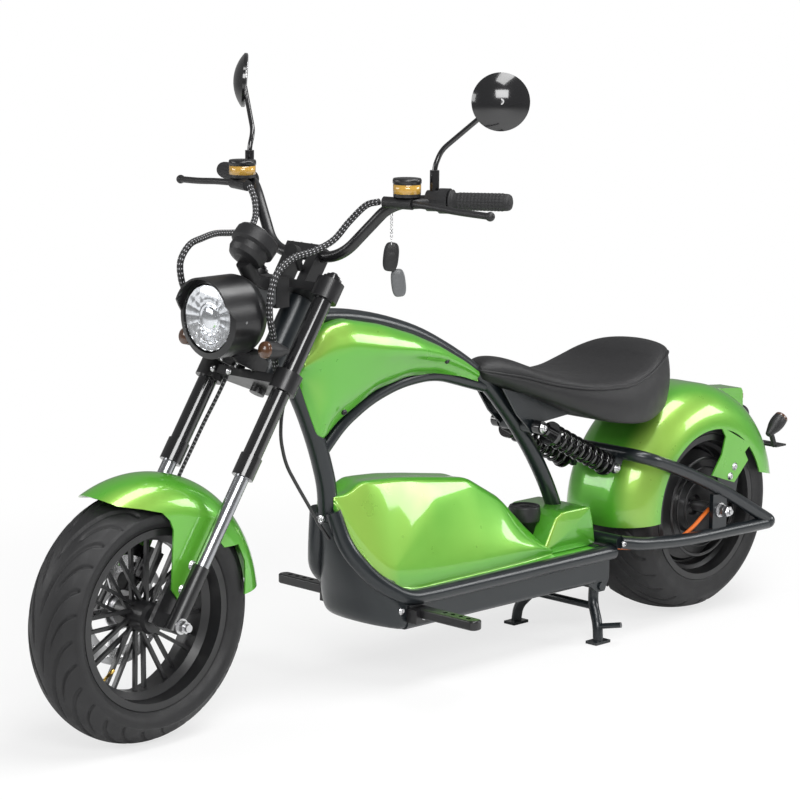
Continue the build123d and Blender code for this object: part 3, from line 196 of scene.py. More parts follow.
def tube(path: np.ndarray, radius: np.ndarray, sides: int, loop: bool = False) -> Shape:
    """Round tube: each ring is the path point plus radius * (n1 cos a + n2 sin a), n1 and n2 square to the path.

    Args:
        path: (n, 3) centreline.
        radius: One radius or one for each point.
        sides: Points in a ring.
        loop: Whether the last point leads back to the first; otherwise both ends get a cap.

    Returns:
        Points and faces.
    """
    path = np.asarray(path, float)
    tangent = unit(np.roll(path, -1, axis=0) - np.roll(path, 1, axis=0) if loop else np.gradient(path, axis=0))
    spread = np.ptp(path, axis=0)
    helper = np.eye(3)[int(np.argmin(spread))]
    n1 = unit(np.cross(tangent, helper))
    n2 = np.cross(tangent, n1)
    a = full_turn(sides)
    r = np.broadcast_to(np.asarray(radius, float), (len(path),))[:, None, None]
    ring = np.cos(a)[None, :, None] * n1[:, None, :] + np.sin(a)[None, :, None] * n2[:, None, :]
    points = path[:, None, :] + r * ring
    faces = grid_faces(len(path), sides, loop, True).tolist()
    if not loop:
        last = (len(path) - 1) * sides
        faces.append(list(range(sides))[::-1])
        faces.append([last + k for k in range(sides)])
    return points.reshape(-1, 3), faces


def join(parts: Sequence[Shape]) -> Shape:
    """Several point and face sets as one, with the indices of each moved on."""
    points, faces, start = [], [], 0
    for p, f in parts:
        points.append(p)
        faces += [[int(v) + start for v in face] for face in f]
        start += len(p)
    return np.concatenate(points), faces


# The left side and the right side
BOTH = (1, -1)


def both_sides(shape: Callable[[int], Shape]) -> Shape:
    """A shape made for the left side joined with the one made for the right side."""
    return join([shape(side) for side in BOTH])


def mirror(side: int) -> np.ndarray:
    """Factors that keep a left point, or take it to the right for side -1."""
    return np.array([1, side, 1])


def smooth_curve(knots: Sequence[Sequence[float]], samples: int) -> np.ndarray:
    """Catmull-Rom curve through knots, evenly sampled in its parameter.

    Each span blends four neighbouring knots with the usual cubic weights.

    Args:
        knots: Points of any dimension.
        samples: Number of points returned.

    Returns:
        (samples, d) array.
    """
    k = np.asarray(knots, float)
    k = np.vstack([2 * k[0] - k[1], k, 2 * k[-1] - k[-2]])
    t = np.linspace(0, len(k) - 3, samples)
    i = np.minimum(t.astype(int), len(k) - 4)
    u = (t - i)[:, None]
    p0, p1, p2, p3 = k[i], k[i + 1], k[i + 2], k[i + 3]
    return 0.5 * (2 * p1 + (p2 - p0) * u + (2 * p0 - 5 * p1 + 4 * p2 - p3) * u ** 2
                  + (3 * p1 - p0 - 3 * p2 + p3) * u ** 3)


class Pattern(Enum):
    """The fine relief that a finish carries."""

    NONE = "none"
    ORANGE_PEEL = "orange peel"
    MOULDED = "moulded grain"
    LEATHER = "leather grain"
    RUBBER = "rubber"
    BRUSHED = "brushed"


# What feeds a node's input
Feed = float | tuple[float, ...] | bpy.types.NodeSocket


class Graph:
    """The nodes of a material or a world."""

    def __init__(self, owner: bpy.types.Material | bpy.types.World) -> None:
        """Takes the owner's own nodes as a start."""
        owner.use_nodes = True
        self.tree = owner.node_tree

    def feed(self, node: bpy.types.Node, inputs: dict[str | int, Feed]) -> bpy.types.Node:
        """Fills a node's inputs, by name or number, with a value or with the socket that feeds each."""
        for key, value in inputs.items():
            if isinstance(value, bpy.types.NodeSocket):
                self.tree.links.new(value, node.inputs[key])
            else:
                node.inputs[key].default_value = value
        return node

    def add(self, kind: str, output: str | int, inputs: dict[str | int, Feed] | None = None,
            **options: str) -> bpy.types.NodeSocket:
        """Adds a node.

        Args:
            kind: Node type, without its leading ShaderNode.
            output: Name or number of the output wanted.
            inputs: Values and sockets for its inputs.
            options: The node's own options, such as its operation.

        Returns:
            The output socket.
        """
        node = self.tree.nodes.new("ShaderNode" + kind)
        for key, value in options.items():
            setattr(node, key, value)
        return self.feed(node, inputs or {}).outputs[output]

    def blend(self, share: bpy.types.NodeSocket, first: Feed, painted_highlight_colour: Feed) -> bpy.types.NodeSocket:
        """Mixes two colours, each a value or a socket, by a share."""
        return self.add("Mix", "Result", {"Factor": share, "A": first, "B": painted_highlight_colour}, data_type="RGBA")

    def bump(self, height: bpy.types.NodeSocket, strength: float, distance: float) -> bpy.types.NodeSocket:
        """Normal bent by a height."""
        return self.add("Bump", "Normal", {"Height": height, "Strength": strength, "Distance": distance})


# Noise cells to a metre for colour and for gloss, the share gloss varies by, and a relief's depth in metres
MOTTLE_SCALE = 9.0
SMUDGE_SCALE = 30.0
GLOSS_SPREAD = 0.15
RELIEF_DEPTH = 0.0006


def opaque(colour: Colour) -> tuple[float, float, float, float]:
    """A colour with full alpha."""
    return (*colour, 1.0)


@dataclass(frozen=True)
class Finish:
    """A surface finish: one shader with small, even variations of colour, gloss and relief, and an optional
    painted highlight colour on faces turned towards the key lamp.
    """

    name: str
    colour: Colour
    roughness: float
    metallic: float = 0.0
    coat: float = 0.0
    coat_roughness: float = 0.05
    pattern: Pattern = Pattern.MOULDED
    scale: float = 900.0
    relief: float = 0.05
    variation: float = 0.12
    specular_tint: Colour = (1.0, 1.0, 1.0)
    transmission: float = 0.0
    # Painted highlight colour, mixed in on faces turned towards the key lamp
    painted_highlight_colour: Colour | None = None

    def build(self) -> bpy.types.Material:
        """Makes the node material.

        Returns:
            A material with object-space noise on colour, roughness and bump.
        """
        material = bpy.data.materials.new(self.name)
        graph = Graph(material)
        spot = graph.add("TexCoord", "Object")
        mottle = graph.add("TexNoise", "Fac", {"Scale": MOTTLE_SCALE, "Detail": 4.0, "Vector": spot})
        low = tuple(c * (1 - self.variation) for c in self.colour)
        high = tuple(min(1.0, c * (1 + self.variation) + 0.002) for c in self.colour)
        colour = graph.blend(mottle, opaque(low), opaque(high))
        # Painted highlight: a yellower colour on the faces that turn towards the key lamp
        if self.painted_highlight_colour is not None:
            colour = self.mix_painted_highlight(graph, colour)
        smudge = graph.add("TexNoise", "Fac", {"Scale": SMUDGE_SCALE, "Detail": 5.0, "Vector": spot})
        dull = min(1.0, self.roughness * (1 + GLOSS_SPREAD))
        shiny = max(0.02, self.roughness * (1 - GLOSS_SPREAD))
        rough = graph.add("MapRange", "Result", {"Value": smudge, "From Min": 0.3, "From Max": 0.7,
                                                 "To Min": shiny, "To Max": dull})
        shader = graph.feed(graph.tree.nodes["Principled BSDF"], {
            "Base Color": colour, "Roughness": rough, "Metallic": self.metallic, "Coat Weight": self.coat,
            "Coat Roughness": self.coat_roughness, "Specular Tint": opaque(self.specular_tint),
            "Transmission Weight": self.transmission})
        if self.pattern is not Pattern.NONE:
            normal = graph.bump(self.height(graph, spot), min(1.0, self.relief * 4), RELIEF_DEPTH)
            graph.feed(shader, {"Normal": normal})
        return material

    def mix_painted_highlight(self, graph: Graph, colour: bpy.types.NodeSocket) -> bpy.types.NodeSocket:
        """Painted highlight: a yellower colour where the panel faces up and forwards to the left, towards the
        key lamp, fixed to the surface.

        Args:
            graph: Material's nodes.
            colour: Colour so far.

        Returns:
            Colour with the painted highlight mixed in.
        """
        # The painted highlight's share grows as the face turns towards the key lamp
        facing = graph.add("VectorMath", "Value", {0: graph.add("TexCoord", "Normal"), 1: (0.50, 0.76, 0.42)},
                           operation="DOT_PRODUCT")
        painted_highlight_share = graph.add("MapRange", "Result", interpolation_type="SMOOTHSTEP",
                         inputs={"Value": facing, "From Min": 0.70, "From Max": 1.0, "To Max": 0.7})
        return graph.blend(painted_highlight_share, colour, opaque(self.painted_highlight_colour))

    def height(self, graph: Graph, spot: bpy.types.NodeSocket) -> bpy.types.NodeSocket:
        """Height of the finish's relief: cells on leather, streaks on brushed metal and noise on the rest.

        Args:
            graph: Material's nodes.
            spot: Object coordinates.

        Returns:
            The height.
        """
        if self.pattern is Pattern.BRUSHED:
            spot = graph.add("Mapping", "Vector", {"Vector": spot, "Scale": (1.0, 0.06, 1.0)})
        if self.pattern is Pattern.LEATHER:
            return graph.add("TexVoronoi", "Distance", feature="SMOOTH_F1",
                             inputs={"Scale": self.scale, "Vector": spot})
        return graph.add("TexNoise", "Fac", {"Scale": self.scale, "Detail": 2.0, "Vector": spot})


@dataclass(frozen=True)
class BraidFinish:
    """Black braided hose sleeve with rows of pale stitches along it."""

    name: str = "braided_sleeve"
    dark: Colour = (0.009, 0.009, 0.010)
    pale: Colour = (0.50, 0.50, 0.52)
    rows: float = 8.0
    pitch: float = 0.0085

    def build(self) -> bpy.types.Material:
        """Makes the node material.

        The hose's map gives metres along it and the share of a turn round it. A stitch lies where both the
        sine of the length over the pitch and the sine of the turn times the rows pass a threshold.

        Returns:
            A material that reads the map.
        """
        material = bpy.data.materials.new(self.name)
        graph = Graph(material)
        sines, gates = [], []
        for output, factor in (("X", 2 * math.pi / self.pitch), ("Y", 2 * math.pi * self.rows)):
            part = graph.add("SeparateXYZ", output, {"Vector": graph.add("UVMap", "UV")})
            turn = graph.add("Math", 0, {0: part, 1: factor}, operation="MULTIPLY")
            sines.append(graph.add("Math", 0, {0: turn}, operation="SINE"))
            gates.append(graph.add("MapRange", "Result",
                                   {"Value": sines[-1], "From Min": 0.35, "From Max": 0.60}))
        stitch, weave = (graph.add("Math", 0, {0: pair[0], 1: pair[1]}, operation="MULTIPLY")
                         for pair in (gates, sines))
        graph.feed(graph.tree.nodes["Principled BSDF"], {
            "Base Color": graph.blend(stitch, opaque(self.dark), opaque(self.pale)), "Roughness": 0.5,
            "Normal": graph.bump(weave, 0.6, 0.0008)})
        return material


@lru_cache(maxsize=None)
def material_of(finish: Finish | BraidFinish) -> bpy.types.Material:
    """The finish's material, built on first use."""
    return finish.build()


# Name, colour, roughness, metallic, coat, coat roughness, pattern, cells to a metre, relief and variation
# The green paint's extra colour is a painted highlight: yellower where faces turn up, forwards and left, towards
# the key lamp
GREEN_PAINT = Finish("green_pearl_painted_highlight", (0.098, 0.425, 0.032), 0.32, 0.30, 1.0, 0.05, Pattern.NONE, variation=0.05,
                     painted_highlight_colour=(0.40, 0.60, 0.10), specular_tint=(1.0, 1.0, 0.7))
FRAME_PAINT = Finish("frame_anthracite", (0.009, 0.013, 0.016), 0.34, 0.2, 0.35, 0.2, Pattern.ORANGE_PEEL, 420.0,
                     0.04)
GLOSS_BLACK = Finish("gloss_black", (0.008, 0.008, 0.009), 0.16, 0.0, 0.8, 0.05, Pattern.ORANGE_PEEL, 380.0,
                     0.012)
SATIN_BLACK = Finish("satin_black", (0.009, 0.009, 0.010), 0.34, 0.0, 0.2, 0.2, Pattern.ORANGE_PEEL, 500.0, 0.03)
PLASTIC = Finish("moulded_plastic", (0.011, 0.011, 0.012), 0.44, scale=1500.0, relief=0.10)
TYRE_RUBBER = Finish("tyre_rubber", (0.010, 0.010, 0.011), 0.55, pattern=Pattern.RUBBER, scale=1100.0,
                     relief=0.12, variation=0.2)
GRIP_RUBBER = Finish("grip_rubber", (0.012, 0.012, 0.013), 0.6, pattern=Pattern.RUBBER, scale=1700.0,
                     relief=0.14)
LEATHER = Finish("seat_leather", (0.011, 0.011, 0.012), 0.44, 0.0, 0.0, 0.1, Pattern.LEATHER, 1150.0, 0.16, 0.15)
CHROME = Finish("chrome", (0.86, 0.86, 0.87), 0.09, 1.0, pattern=Pattern.NONE, variation=0.03)
STANCHION = Finish("satin_chrome", (0.40, 0.41, 0.43), 0.24, 1.0, pattern=Pattern.BRUSHED, scale=500.0,
                   relief=0.03)
STEEL = Finish("brushed_steel", (0.58, 0.58, 0.59), 0.28, 1.0, pattern=Pattern.BRUSHED, scale=700.0, relief=0.05)
WHEEL_BLACK = Finish("wheel_black", (0.010, 0.010, 0.011), 0.38, 0.0, 0.25, 0.2, Pattern.ORANGE_PEEL, 420.0,
                     0.03)
HUB_BLACK = Finish("hub_black", (0.010, 0.010, 0.011), 0.38, 0.1, 0.2, 0.2, Pattern.MOULDED, 800.0, 0.08)
RED_LENS = Finish("red_lens", (0.30, 0.008, 0.012), 0.14, 0.0, 0.8, 0.05, Pattern.MOULDED, 240.0, 0.04)
AMBER_LENS = Finish("amber_lens", (0.085, 0.036, 0.016), 0.14, 0.0, 0.6, 0.05, Pattern.MOULDED, 240.0, 0.04)
FLUID = Finish("amber_fluid", (0.52, 0.30, 0.05), 0.15, 0.0, 0.9, 0.04, Pattern.MOULDED, 60.0, 0.01, 0.18)
ORANGE = Finish("orange_sheath", (0.80, 0.17, 0.02), 0.42, pattern=Pattern.RUBBER, scale=900.0, relief=0.08)
REFLECTOR = Finish("reflector", (0.90, 0.91, 0.93), 0.12, 1.0, pattern=Pattern.NONE, variation=0.02)
LENS_GLASS = Finish("lens_glass", (0.97, 0.98, 0.99), 0.03, 0.0, 0.0, 0.03, Pattern.MOULDED, 70.0, 0.02, 0.01,
                    transmission=1.0)
BRASS = Finish("valve_brass", (0.72, 0.47, 0.12), 0.25, 1.0, pattern=Pattern.BRUSHED, scale=900.0, relief=0.04)
PALE_GREY = Finish("grey_plastic", (0.13, 0.135, 0.14), 0.36, scale=1300.0, relief=0.08)
DIAL_WHITE = Finish("dial_marks", (0.82, 0.82, 0.80), 0.5, pattern=Pattern.NONE, variation=0.02)


class Paintbox:
    """Dresses the frame's nodes with their finishes."""

    NODES = {
        FRAME_PAINT: ("head_tube", "backbone_tube", "down_tube", "tank_arch", "cradle_rails", "battery_box",
                      "front_shield", "seat_bracket", "swingarm", "centre_stand"),
        GREEN_PAINT: ("battery_cover", "tank_halves", "rear_mudguard", "front_mudguard"),
        PLASTIC: ("charge_cap", "rear_bracket", "rear_signals", "brake_levers", "speedometer", "switch_box",
                  "front_signals"),
        SATIN_BLACK: ("foot_pegs", "wiring_loom", "brake_hoses", "steering_stem", "lower_clamp", "upper_clamp",
                      "fork_sliders", "front_caliper", "handlebar", "bar_clamp", "headlight_shell"),
        GLOSS_BLACK: ("shock_bodies", "shock_springs", "fork_tubes", "mirrors"),
        STEEL: ("rear_axle", "front_axle", "front_disc"),
        TYRE_RUBBER: ("front_tyre", "rear_tyre"),
        LEATHER: ("seat",),
        RED_LENS: ("tail_light",),
        ORANGE: ("motor_cable",),
        STANCHION: ("stanchions",),
        GRIP_RUBBER: ("grips",),
        REFLECTOR: ("headlight_lens",),
        WHEEL_BLACK: ("front_wheel",),
        HUB_BLACK: ("rear_wheel",),
    }

    def dress(self) -> None:
        """Puts each finish in all the material slots of its nodes."""
        for finish, nodes in self.NODES.items():
            for node in nodes:
                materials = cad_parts[node].data.materials
                materials.clear()
                materials.append(material_of(finish))
                log.info("%s dressed with %s", node, finish.name)


class Tread(Enum):
    """How a tyre's grooves sweep from the shoulder to the middle."""

    FRONT = 1
    REAR = -1


@dataclass
class Tyre:
    """Tyre with curved rain grooves cut in its crown."""

    name: str
    node: str
    body: Body
    centre_x: float
    radius: float
    width: float
    rim_r: float
    shoulder_drop: float
    bead_half: float
    grooves: int
    tread: Tread
    flange: float = 8.0
    groove_depth: float = 5.0
    groove_half: float = 3.6
    sweep: float = 1.9
    slope: float = 3.6
    tread_share: float = 0.78
    ripple: float = 0.5
    ripple_pitch: float = 9.0
    around: int = 880

    def profile(self) -> np.ndarray:
        """Outline from one bead to the other: crown, shoulder and side wall arcs sampled as one curve.

        Returns:
            (n, 2) array of width and radius, and the first and last points are the beads.
        """
        half = self.width / 2
        tread_half = self.tread_share * half
        tread_r = self.radius - self.shoulder_drop
        wide_r = (tread_r + self.rim_r) / 2 + 8
        lip_r = self.rim_r + self.flange + 1
        crown_r = (tread_half ** 2 + self.shoulder_drop ** 2) / (2 * self.shoulder_drop)
        reach = math.asin(tread_half / crown_r)
        a = np.linspace(0, reach, 34)
        crown = np.stack([crown_r * np.sin(a), self.radius - crown_r * (1 - np.cos(a))], axis=1)
        # Side wall from the shoulder past the widest place to the rim's flange
        wall = smooth_curve([(tread_half, tread_r), (0.93 * half, tread_r - 14), (half, wide_r),
                             (0.97 * half, (wide_r + lip_r) / 2), (self.bead_half + 6, lip_r)], 18)[1:]
        bead = np.array([[self.bead_half, lip_r], [self.bead_half, self.rim_r + 0.4]])
        right = np.vstack([crown, wall, bead])
        left = right[:0:-1] * np.array([-1.0, 1.0])
        return np.vstack([left, right])

    def groove(self, angle: np.ndarray, across: np.ndarray) -> np.ndarray:
        """Depth of the grooves, from 0 to 1.

        A groove's middle lies at angle = pitch * k - 1.9 * pitch * (1 - s) ** 1.9, s being the share of the
        half width, so it runs nearly round the tyre at the crown and across it at the shoulder. The distance
        to it is measured square to the groove, and each side is shifted by half a pitch.

        Args:
            angle: Angle round the axle.
            across: Share of the half width, from -1 to 1.

        Returns:
            Array of depths.
        """
        pitch = 2 * np.pi / self.grooves
        s = np.minimum(np.abs(across), 1.0)
        sweep = self.sweep * pitch * self.tread.value * (1 - s) ** self.sweep
        shift = np.where(across > 0, 0.0, 0.5 * pitch)
        total = np.zeros(np.broadcast(angle, across).shape)
        # Each row: offset in pitches, where the groove starts and ends across the tyre, half its width
        rows = ((0.0, 0.10, 0.90, self.groove_half), (0.5, 0.42, 0.94, 0.75 * self.groove_half))
        for offset, start, end, half in rows:
            phase = (angle + sweep - shift - offset * pitch + pitch / 2) % pitch - pitch / 2
            slope = self.slope * pitch * (1 - s) ** 0.9 * self.radius / (0.5 * self.width)
            distance = np.abs(phase) * self.radius / np.sqrt(1 + slope ** 2)
            edge = np.clip((half - distance) / 1.2, 0, 1)
            ends = np.clip((s - start) / 0.05, 0, 1) * np.clip((end - s) / 0.04, 0, 1)
            total = np.maximum(total, edge * ends)
        return total

    def build(self) -> None:
        """Makes the tyre's surface and lets it stand for its node."""
        outline = self.profile()
        half = self.width / 2
        angle = full_turn(self.around)[:, None]
        y, r = outline[:, 0][None, :], outline[:, 1][None, :]
        on_tread = np.clip((r - (self.radius - self.shoulder_drop - 26)) / 6, 0, 1)
        radius = r - self.groove_depth * self.groove(angle, y / half) * on_tread
        wave = np.clip(np.cos(2 * np.pi * (r - self.rim_r) / self.ripple_pitch), 0.2, 1)
        ripple = self.ripple * wave * (1 - on_tread)
        wall = np.sign(y) * ripple * (np.abs(y) > self.bead_half + 6.5)
        points = np.stack([
            self.centre_x + radius * np.cos(angle),
            np.broadcast_to(y + wall, radius.shape) - np.sign(y) * 0.5,
            self.radius + radius * np.sin(angle),
        ], axis=-1)
        faces = grid_faces(self.around, len(outline), True, True)
        tyre = make_object(self.name, (points, faces), TYRE_RUBBER, self.body)
        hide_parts(self.node)


@dataclass
class Saddle:
    """Sprung saddle: smooth waterfall nose, wide dished rear, piped seam and pulled vinyl sides."""

    # x, half width at the seam, seam height, height of the middle, half width below, lower edge height
    stations: tuple = (
        (644, 22, 606, 616, 18, 598),
        (632, 34, 604, 624, 30, 588),
        (604, 52, 598, 629, 48, 576),
        (560, 70, 588, 621, 66, 558),
        (500, 95, 570, 599, 92, 534),
        (430, 121, 556, 580, 118, 506),
        (366, 134, 551, 573, 133, 482),
        (300, 139, 552, 575, 140, 468),
        (240, 136, 568, 585, 136, 466),
        (190, 123, 586, 605, 124, 476),
        (150, 104, 597, 617, 107, 486),
        (120, 80, 598, 617, 84, 500),
        (101, 53, 592, 609, 58, 516),
        (91, 26, 584, 598, 30, 532),
    )
    along: int = 120
    over: int = 48
    piping_r: float = 2.6

    def curves(self) -> np.ndarray:
        """The stations' values as smooth curves along the seat."""
        return smooth_curve(self.stations, self.along)

    def build(self) -> None:
        """Makes the padded shell and its piping.

        The top is z = seam + (middle - seam) * cos(a) ** 0.85 with y = half * sin(a), and its middle dips at
        the rear; the side bulges outwards by a sine between the seam and the lower edge, and the underside
        is flat.
        """
        x, half, seam, middle, low_half, low = self.curves().T[:, :, None]
        a = np.linspace(-np.pi / 2, np.pi / 2, self.over)[None, :]
        dish = 1 - 0.25 * np.exp(-((x - 330) / 90) ** 2) * np.cos(a) ** 6
        top_y = half * np.sin(a)
        top_z = seam + (middle - seam) * np.abs(np.cos(a)) ** 0.85 * dish
        t = np.linspace(0, 1, 14)[None, 1:]
        bulge = 7.0 * np.sin(np.pi * t) - 3.0 * t ** 3
        side_y = half + (low_half - half) * t + bulge
        crease = 0.9 * np.sin(x / 17.0 + 3 * t) * np.sin(np.pi * t) * np.exp(-((x - 230) / 120) ** 2)
        side_z = seam + (low - seam) * t + crease
        under = np.linspace(1, -1, 12)[None, 1:-1]
        under_y = (low_half - 6) * under
        under_z = low - 3 + 0 * under
        y = np.concatenate([top_y, side_y, under_y, -side_y[:, ::-1]], axis=1)
        z = np.concatenate([top_z, side_z, under_z, side_z[:, ::-1]], axis=1)
        points = np.stack([np.broadcast_to(x, y.shape), y, z], axis=-1)
        shell = make_object("saddle_cover", skin(points, 3.0, -5.0), LEATHER, Body.FRAME)
        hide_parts("seat")
        self.build_piping()

    def build_piping(self) -> None:
        """Round cord sewn in the seam, all the way round the top panel."""
        c = self.curves()
        left = np.stack([c[:, 0], c[:, 1] + 1.2, c[:, 2] - 0.5], axis=1)
        right = left[::-1] * np.array([1.0, -1.0, 1.0])
        nose = smooth_curve([right[-1], (650, 0, 607), left[0]], 9)[1:-1]
        tail = smooth_curve([left[-1], (85, 0, 582), right[0]], 11)[1:-1]
        seam = np.vstack([left, tail, right, nose])
        make_object("saddle_piping", tube(seam, self.piping_r, 10, loop=True), LEATHER, Body.FRAME)


def creased_rows(stations: Sequence[Sequence[float]], count: int, width: int) -> np.ndarray:
    """Station values along x as straight runs with rounded changes of direction.

    The values are interpolated evenly in x and each is then averaged over its neighbours along x.

    Args:
        stations: Rows that start with x.
        count: Rows returned.
        width: Odd number of rows in the average.

    Returns:
        (count, values) array from the smallest x to the largest.
    """
    table = np.asarray(stations, float)
    table = table[np.argsort(table[:, 0])]
    x = np.linspace(table[0, 0], table[-1, 0], count)
    rows = np.stack([np.interp(x, table[:, 0], table[:, k]) for k in range(table.shape[1])], axis=0)
    return soften(rows, width).T


def soften(values: np.ndarray, width: int) -> np.ndarray:
    """Rounds the corners of sampled outlines: each sample becomes the mean of its neighbours, ends kept.

    Args:
        values: (rows, samples) array.
        width: Odd number of samples in the mean.

    Returns:
        Array of the same shape.
    """
    half = width // 2
    padded = np.concatenate([2 * values[:, :1] - values[:, half:0:-1], values,
                             2 * values[:, -1:] - values[:, -2:-half - 2:-1]], axis=1)
    sums = np.cumsum(np.concatenate([np.zeros((len(values), 1)), padded], axis=1), axis=1)
    return (sums[:, width:] - sums[:, :-width]) / width


def outline_samples(corners_y: np.ndarray, corners_z: np.ndarray,
                    per_side: int) -> tuple[np.ndarray, np.ndarray]:
    """Straight runs between the corners of each row, sampled evenly in corner number.

    Args:
        corners_y: (rows, corners) array.
        corners_z: (rows, corners) array.
        per_side: Samples in each run.

    Returns:
        y and z arrays of the same rows.
    """
    count = corners_y.shape[1]
    t = np.linspace(0, count - 1, (count - 1) * per_side + 1)
    i = np.minimum(t.astype(int), count - 2)
    u = t - i
    return (corners_y[:, i] * (1 - u) + corners_y[:, i + 1] * u,
            corners_z[:, i] * (1 - u) + corners_z[:, i + 1] * u)


def skin(points: np.ndarray, first: float = 0.0, last: float = 0.0) -> Shape:
    """Closed skin over rings of points, with a fan of faces to the middle of each end ring.

    Args:
        points: (rings, samples, 3) array.
        first: How far the first end's middle is moved along x.
        last: How far the last end's middle is moved along x.

    Returns:
        Points and faces.
    """
    rings, count = points.shape[:2]
    ends = [points[0].mean(0) + np.array([first, 0, 0]), points[-1].mean(0) + np.array([last, 0, 0])]
    flat = np.vstack([points.reshape(-1, 3), ends])
    faces = grid_faces(rings, count, False, True).tolist()
    base = (rings - 1) * count
    faces += [[(k + 1) % count, k, rings * count] for k in range(count)]
    faces += [[base + k, base + (k + 1) % count, rings * count + 1] for k in range(count)]
    return flat, faces


def slab(outline: Sequence[tuple[float, float]], low: float, high: float, corner: float,
         upright: bool) -> Shape:
    """Plate or block from a rounded outline: each level's outline shrinks towards its middle near both faces.

    The shrink is corner * (1 - sqrt(1 - e * e)) over the outline's mean size, e running from 0 to 1 within
    one corner radius of a face.

    Args:
        outline: Corners in x and y, or in x and z for an upright block.
        low: Lower level.
        high: Upper level.
        corner: Edge radius.
        upright: Whether the levels run along y.

    Returns:
        Points and faces.
    """
    o = np.asarray(list(outline) + [outline[0]], float)
    a, b = outline_samples(o[None, :, 0], o[None, :, 1], 14)
    ring = np.stack([a[0, :-1], b[0, :-1]], axis=1)
    ring = np.mean([np.roll(ring, shift, axis=0) for shift in (-2, -1, 0, 1, 2)], axis=0)
    e = np.linspace(1, 0, 7)
    inset = corner * (1 - np.sqrt(np.clip(1 - e ** 2, 0, 1)))
    levels = np.concatenate([low + corner * (1 - e), high - corner * (1 - e[::-1])])
    shrink = np.concatenate([inset, inset[::-1]])
    middle = ring.mean(0)
    size = np.linalg.norm(ring - middle, axis=1).mean()
    scaled = middle + (ring - middle) * (1 - shrink / size)[:, None, None]
    level = np.broadcast_to(levels[:, None], scaled.shape[:2])
    order = (scaled[..., 0], level, scaled[..., 1]) if upright else (scaled[..., 0], scaled[..., 1], level)
    points, faces = skin(np.stack(order, axis=-1))
    turning = np.sum(ring[:, 0] * np.roll(ring[:, 1], -1) - np.roll(ring[:, 0], -1) * ring[:, 1])
    if (turning < 0) != upright:
        faces = [f[::-1] for f in faces]
    return points, faces


@dataclass
class BatteryCover:
    """Smooth tank-like hump on the battery box, its flange, its rear block and the charge cap."""

    # x, flange z, flange half, base z, base half, crease z, crease half, shoulder z, shoulder half, ridge z
    stations: tuple = (
        (1064, 386, 27, 394, 24, 396, 23, 400, 20, 402),
        (1034, 306, 56, 330, 52, 346, 46, 398, 30, 402),
        (1000, 246, 80, 276, 78, 292, 74, 420, 36, 426),
        (965, 216, 92, 246, 92, 252, 91, 418, 40, 426),
        (900, 200, 96, 240, 93, 308, 78, 413, 42, 423),
        (828, 200, 96, 238, 92, 364, 62, 404, 42, 414),
        (696, 200, 96, 236, 91, 374, 45, 385, 40, 394),
        (596, 200, 94, 234, 88, 322, 46, 330, 38, 338),
        (530, 200, 92, 230, 84, 262, 50, 268, 38, 272),
        (478, 200, 90, 212, 78, 216, 60, 220, 40, 222),
    )
    flange_t: float = 10.0
    dish: float = 5.0
    cap_x: float = 482.0

    def hump(self) -> Shape:
        """Rounded version of the stations, with a shallow dish along the top."""
        rows = creased_rows(self.stations, 220, 13)
        x, fz, fh, bz, bh, cz, ch, sz, sh, rz = rows.T
        half_y = np.stack([fh, fh, bh, bh, ch, sh, sh * 0.75, 0 * sh], axis=1)
        half_z = np.stack([fz - self.flange_t, fz, fz + 3, bz, cz, sz, (sz + rz) / 2 + 2, rz - self.dish],
                          axis=1)
        y, z = outline_samples(half_y, half_z, 8)
        y = np.concatenate([y, -y[:, -2::-1]], axis=1)
        z = np.concatenate([z, z[:, -2::-1]], axis=1)
        y, z = soften(y, 5), soften(z, 5)
        xs = np.broadcast_to(x[:, None], y.shape)
        return skin(np.stack([xs, y, z], axis=-1))

    def build(self) -> None:
        """Makes the cover and the cap."""
        flange = slab(((330, -80), (352, -95), (520, -95), (520, 95), (352, 95), (330, 80)),
                      189.5, 200.5, 3.0, upright=False)
        block = slab(((333, 200), (505, 200), (462, 276), (440, 288), (352, 288), (341, 250)),
                     -73.0, 73.0, 7.0, upright=True)
        cover = make_object("smooth_cover", join([self.hump(), flange, block]), GREEN_PAINT, Body.FRAME)
        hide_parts("battery_cover")
        outline = [(0.0, 222.0), (27.0, 222.0), (27.0, 262.0), (33.0, 264.0), (34.0, 267.0),
                            (34.0, 288.0), (33.0, 291.0), (33.4, 294.0), (31.5, 297.0), (27.0, 297.5),
                            (26.0, 295.0), (11.0, 295.0), (10.0, 297.0), (0.0, 297.4)]
        shape = lathe(outline, (self.cap_x, 0.0, 0.0), UP, 72)
        cap = make_object("round_charge_cap", shape, PLASTIC, Body.FRAME)
        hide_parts("charge_cap")


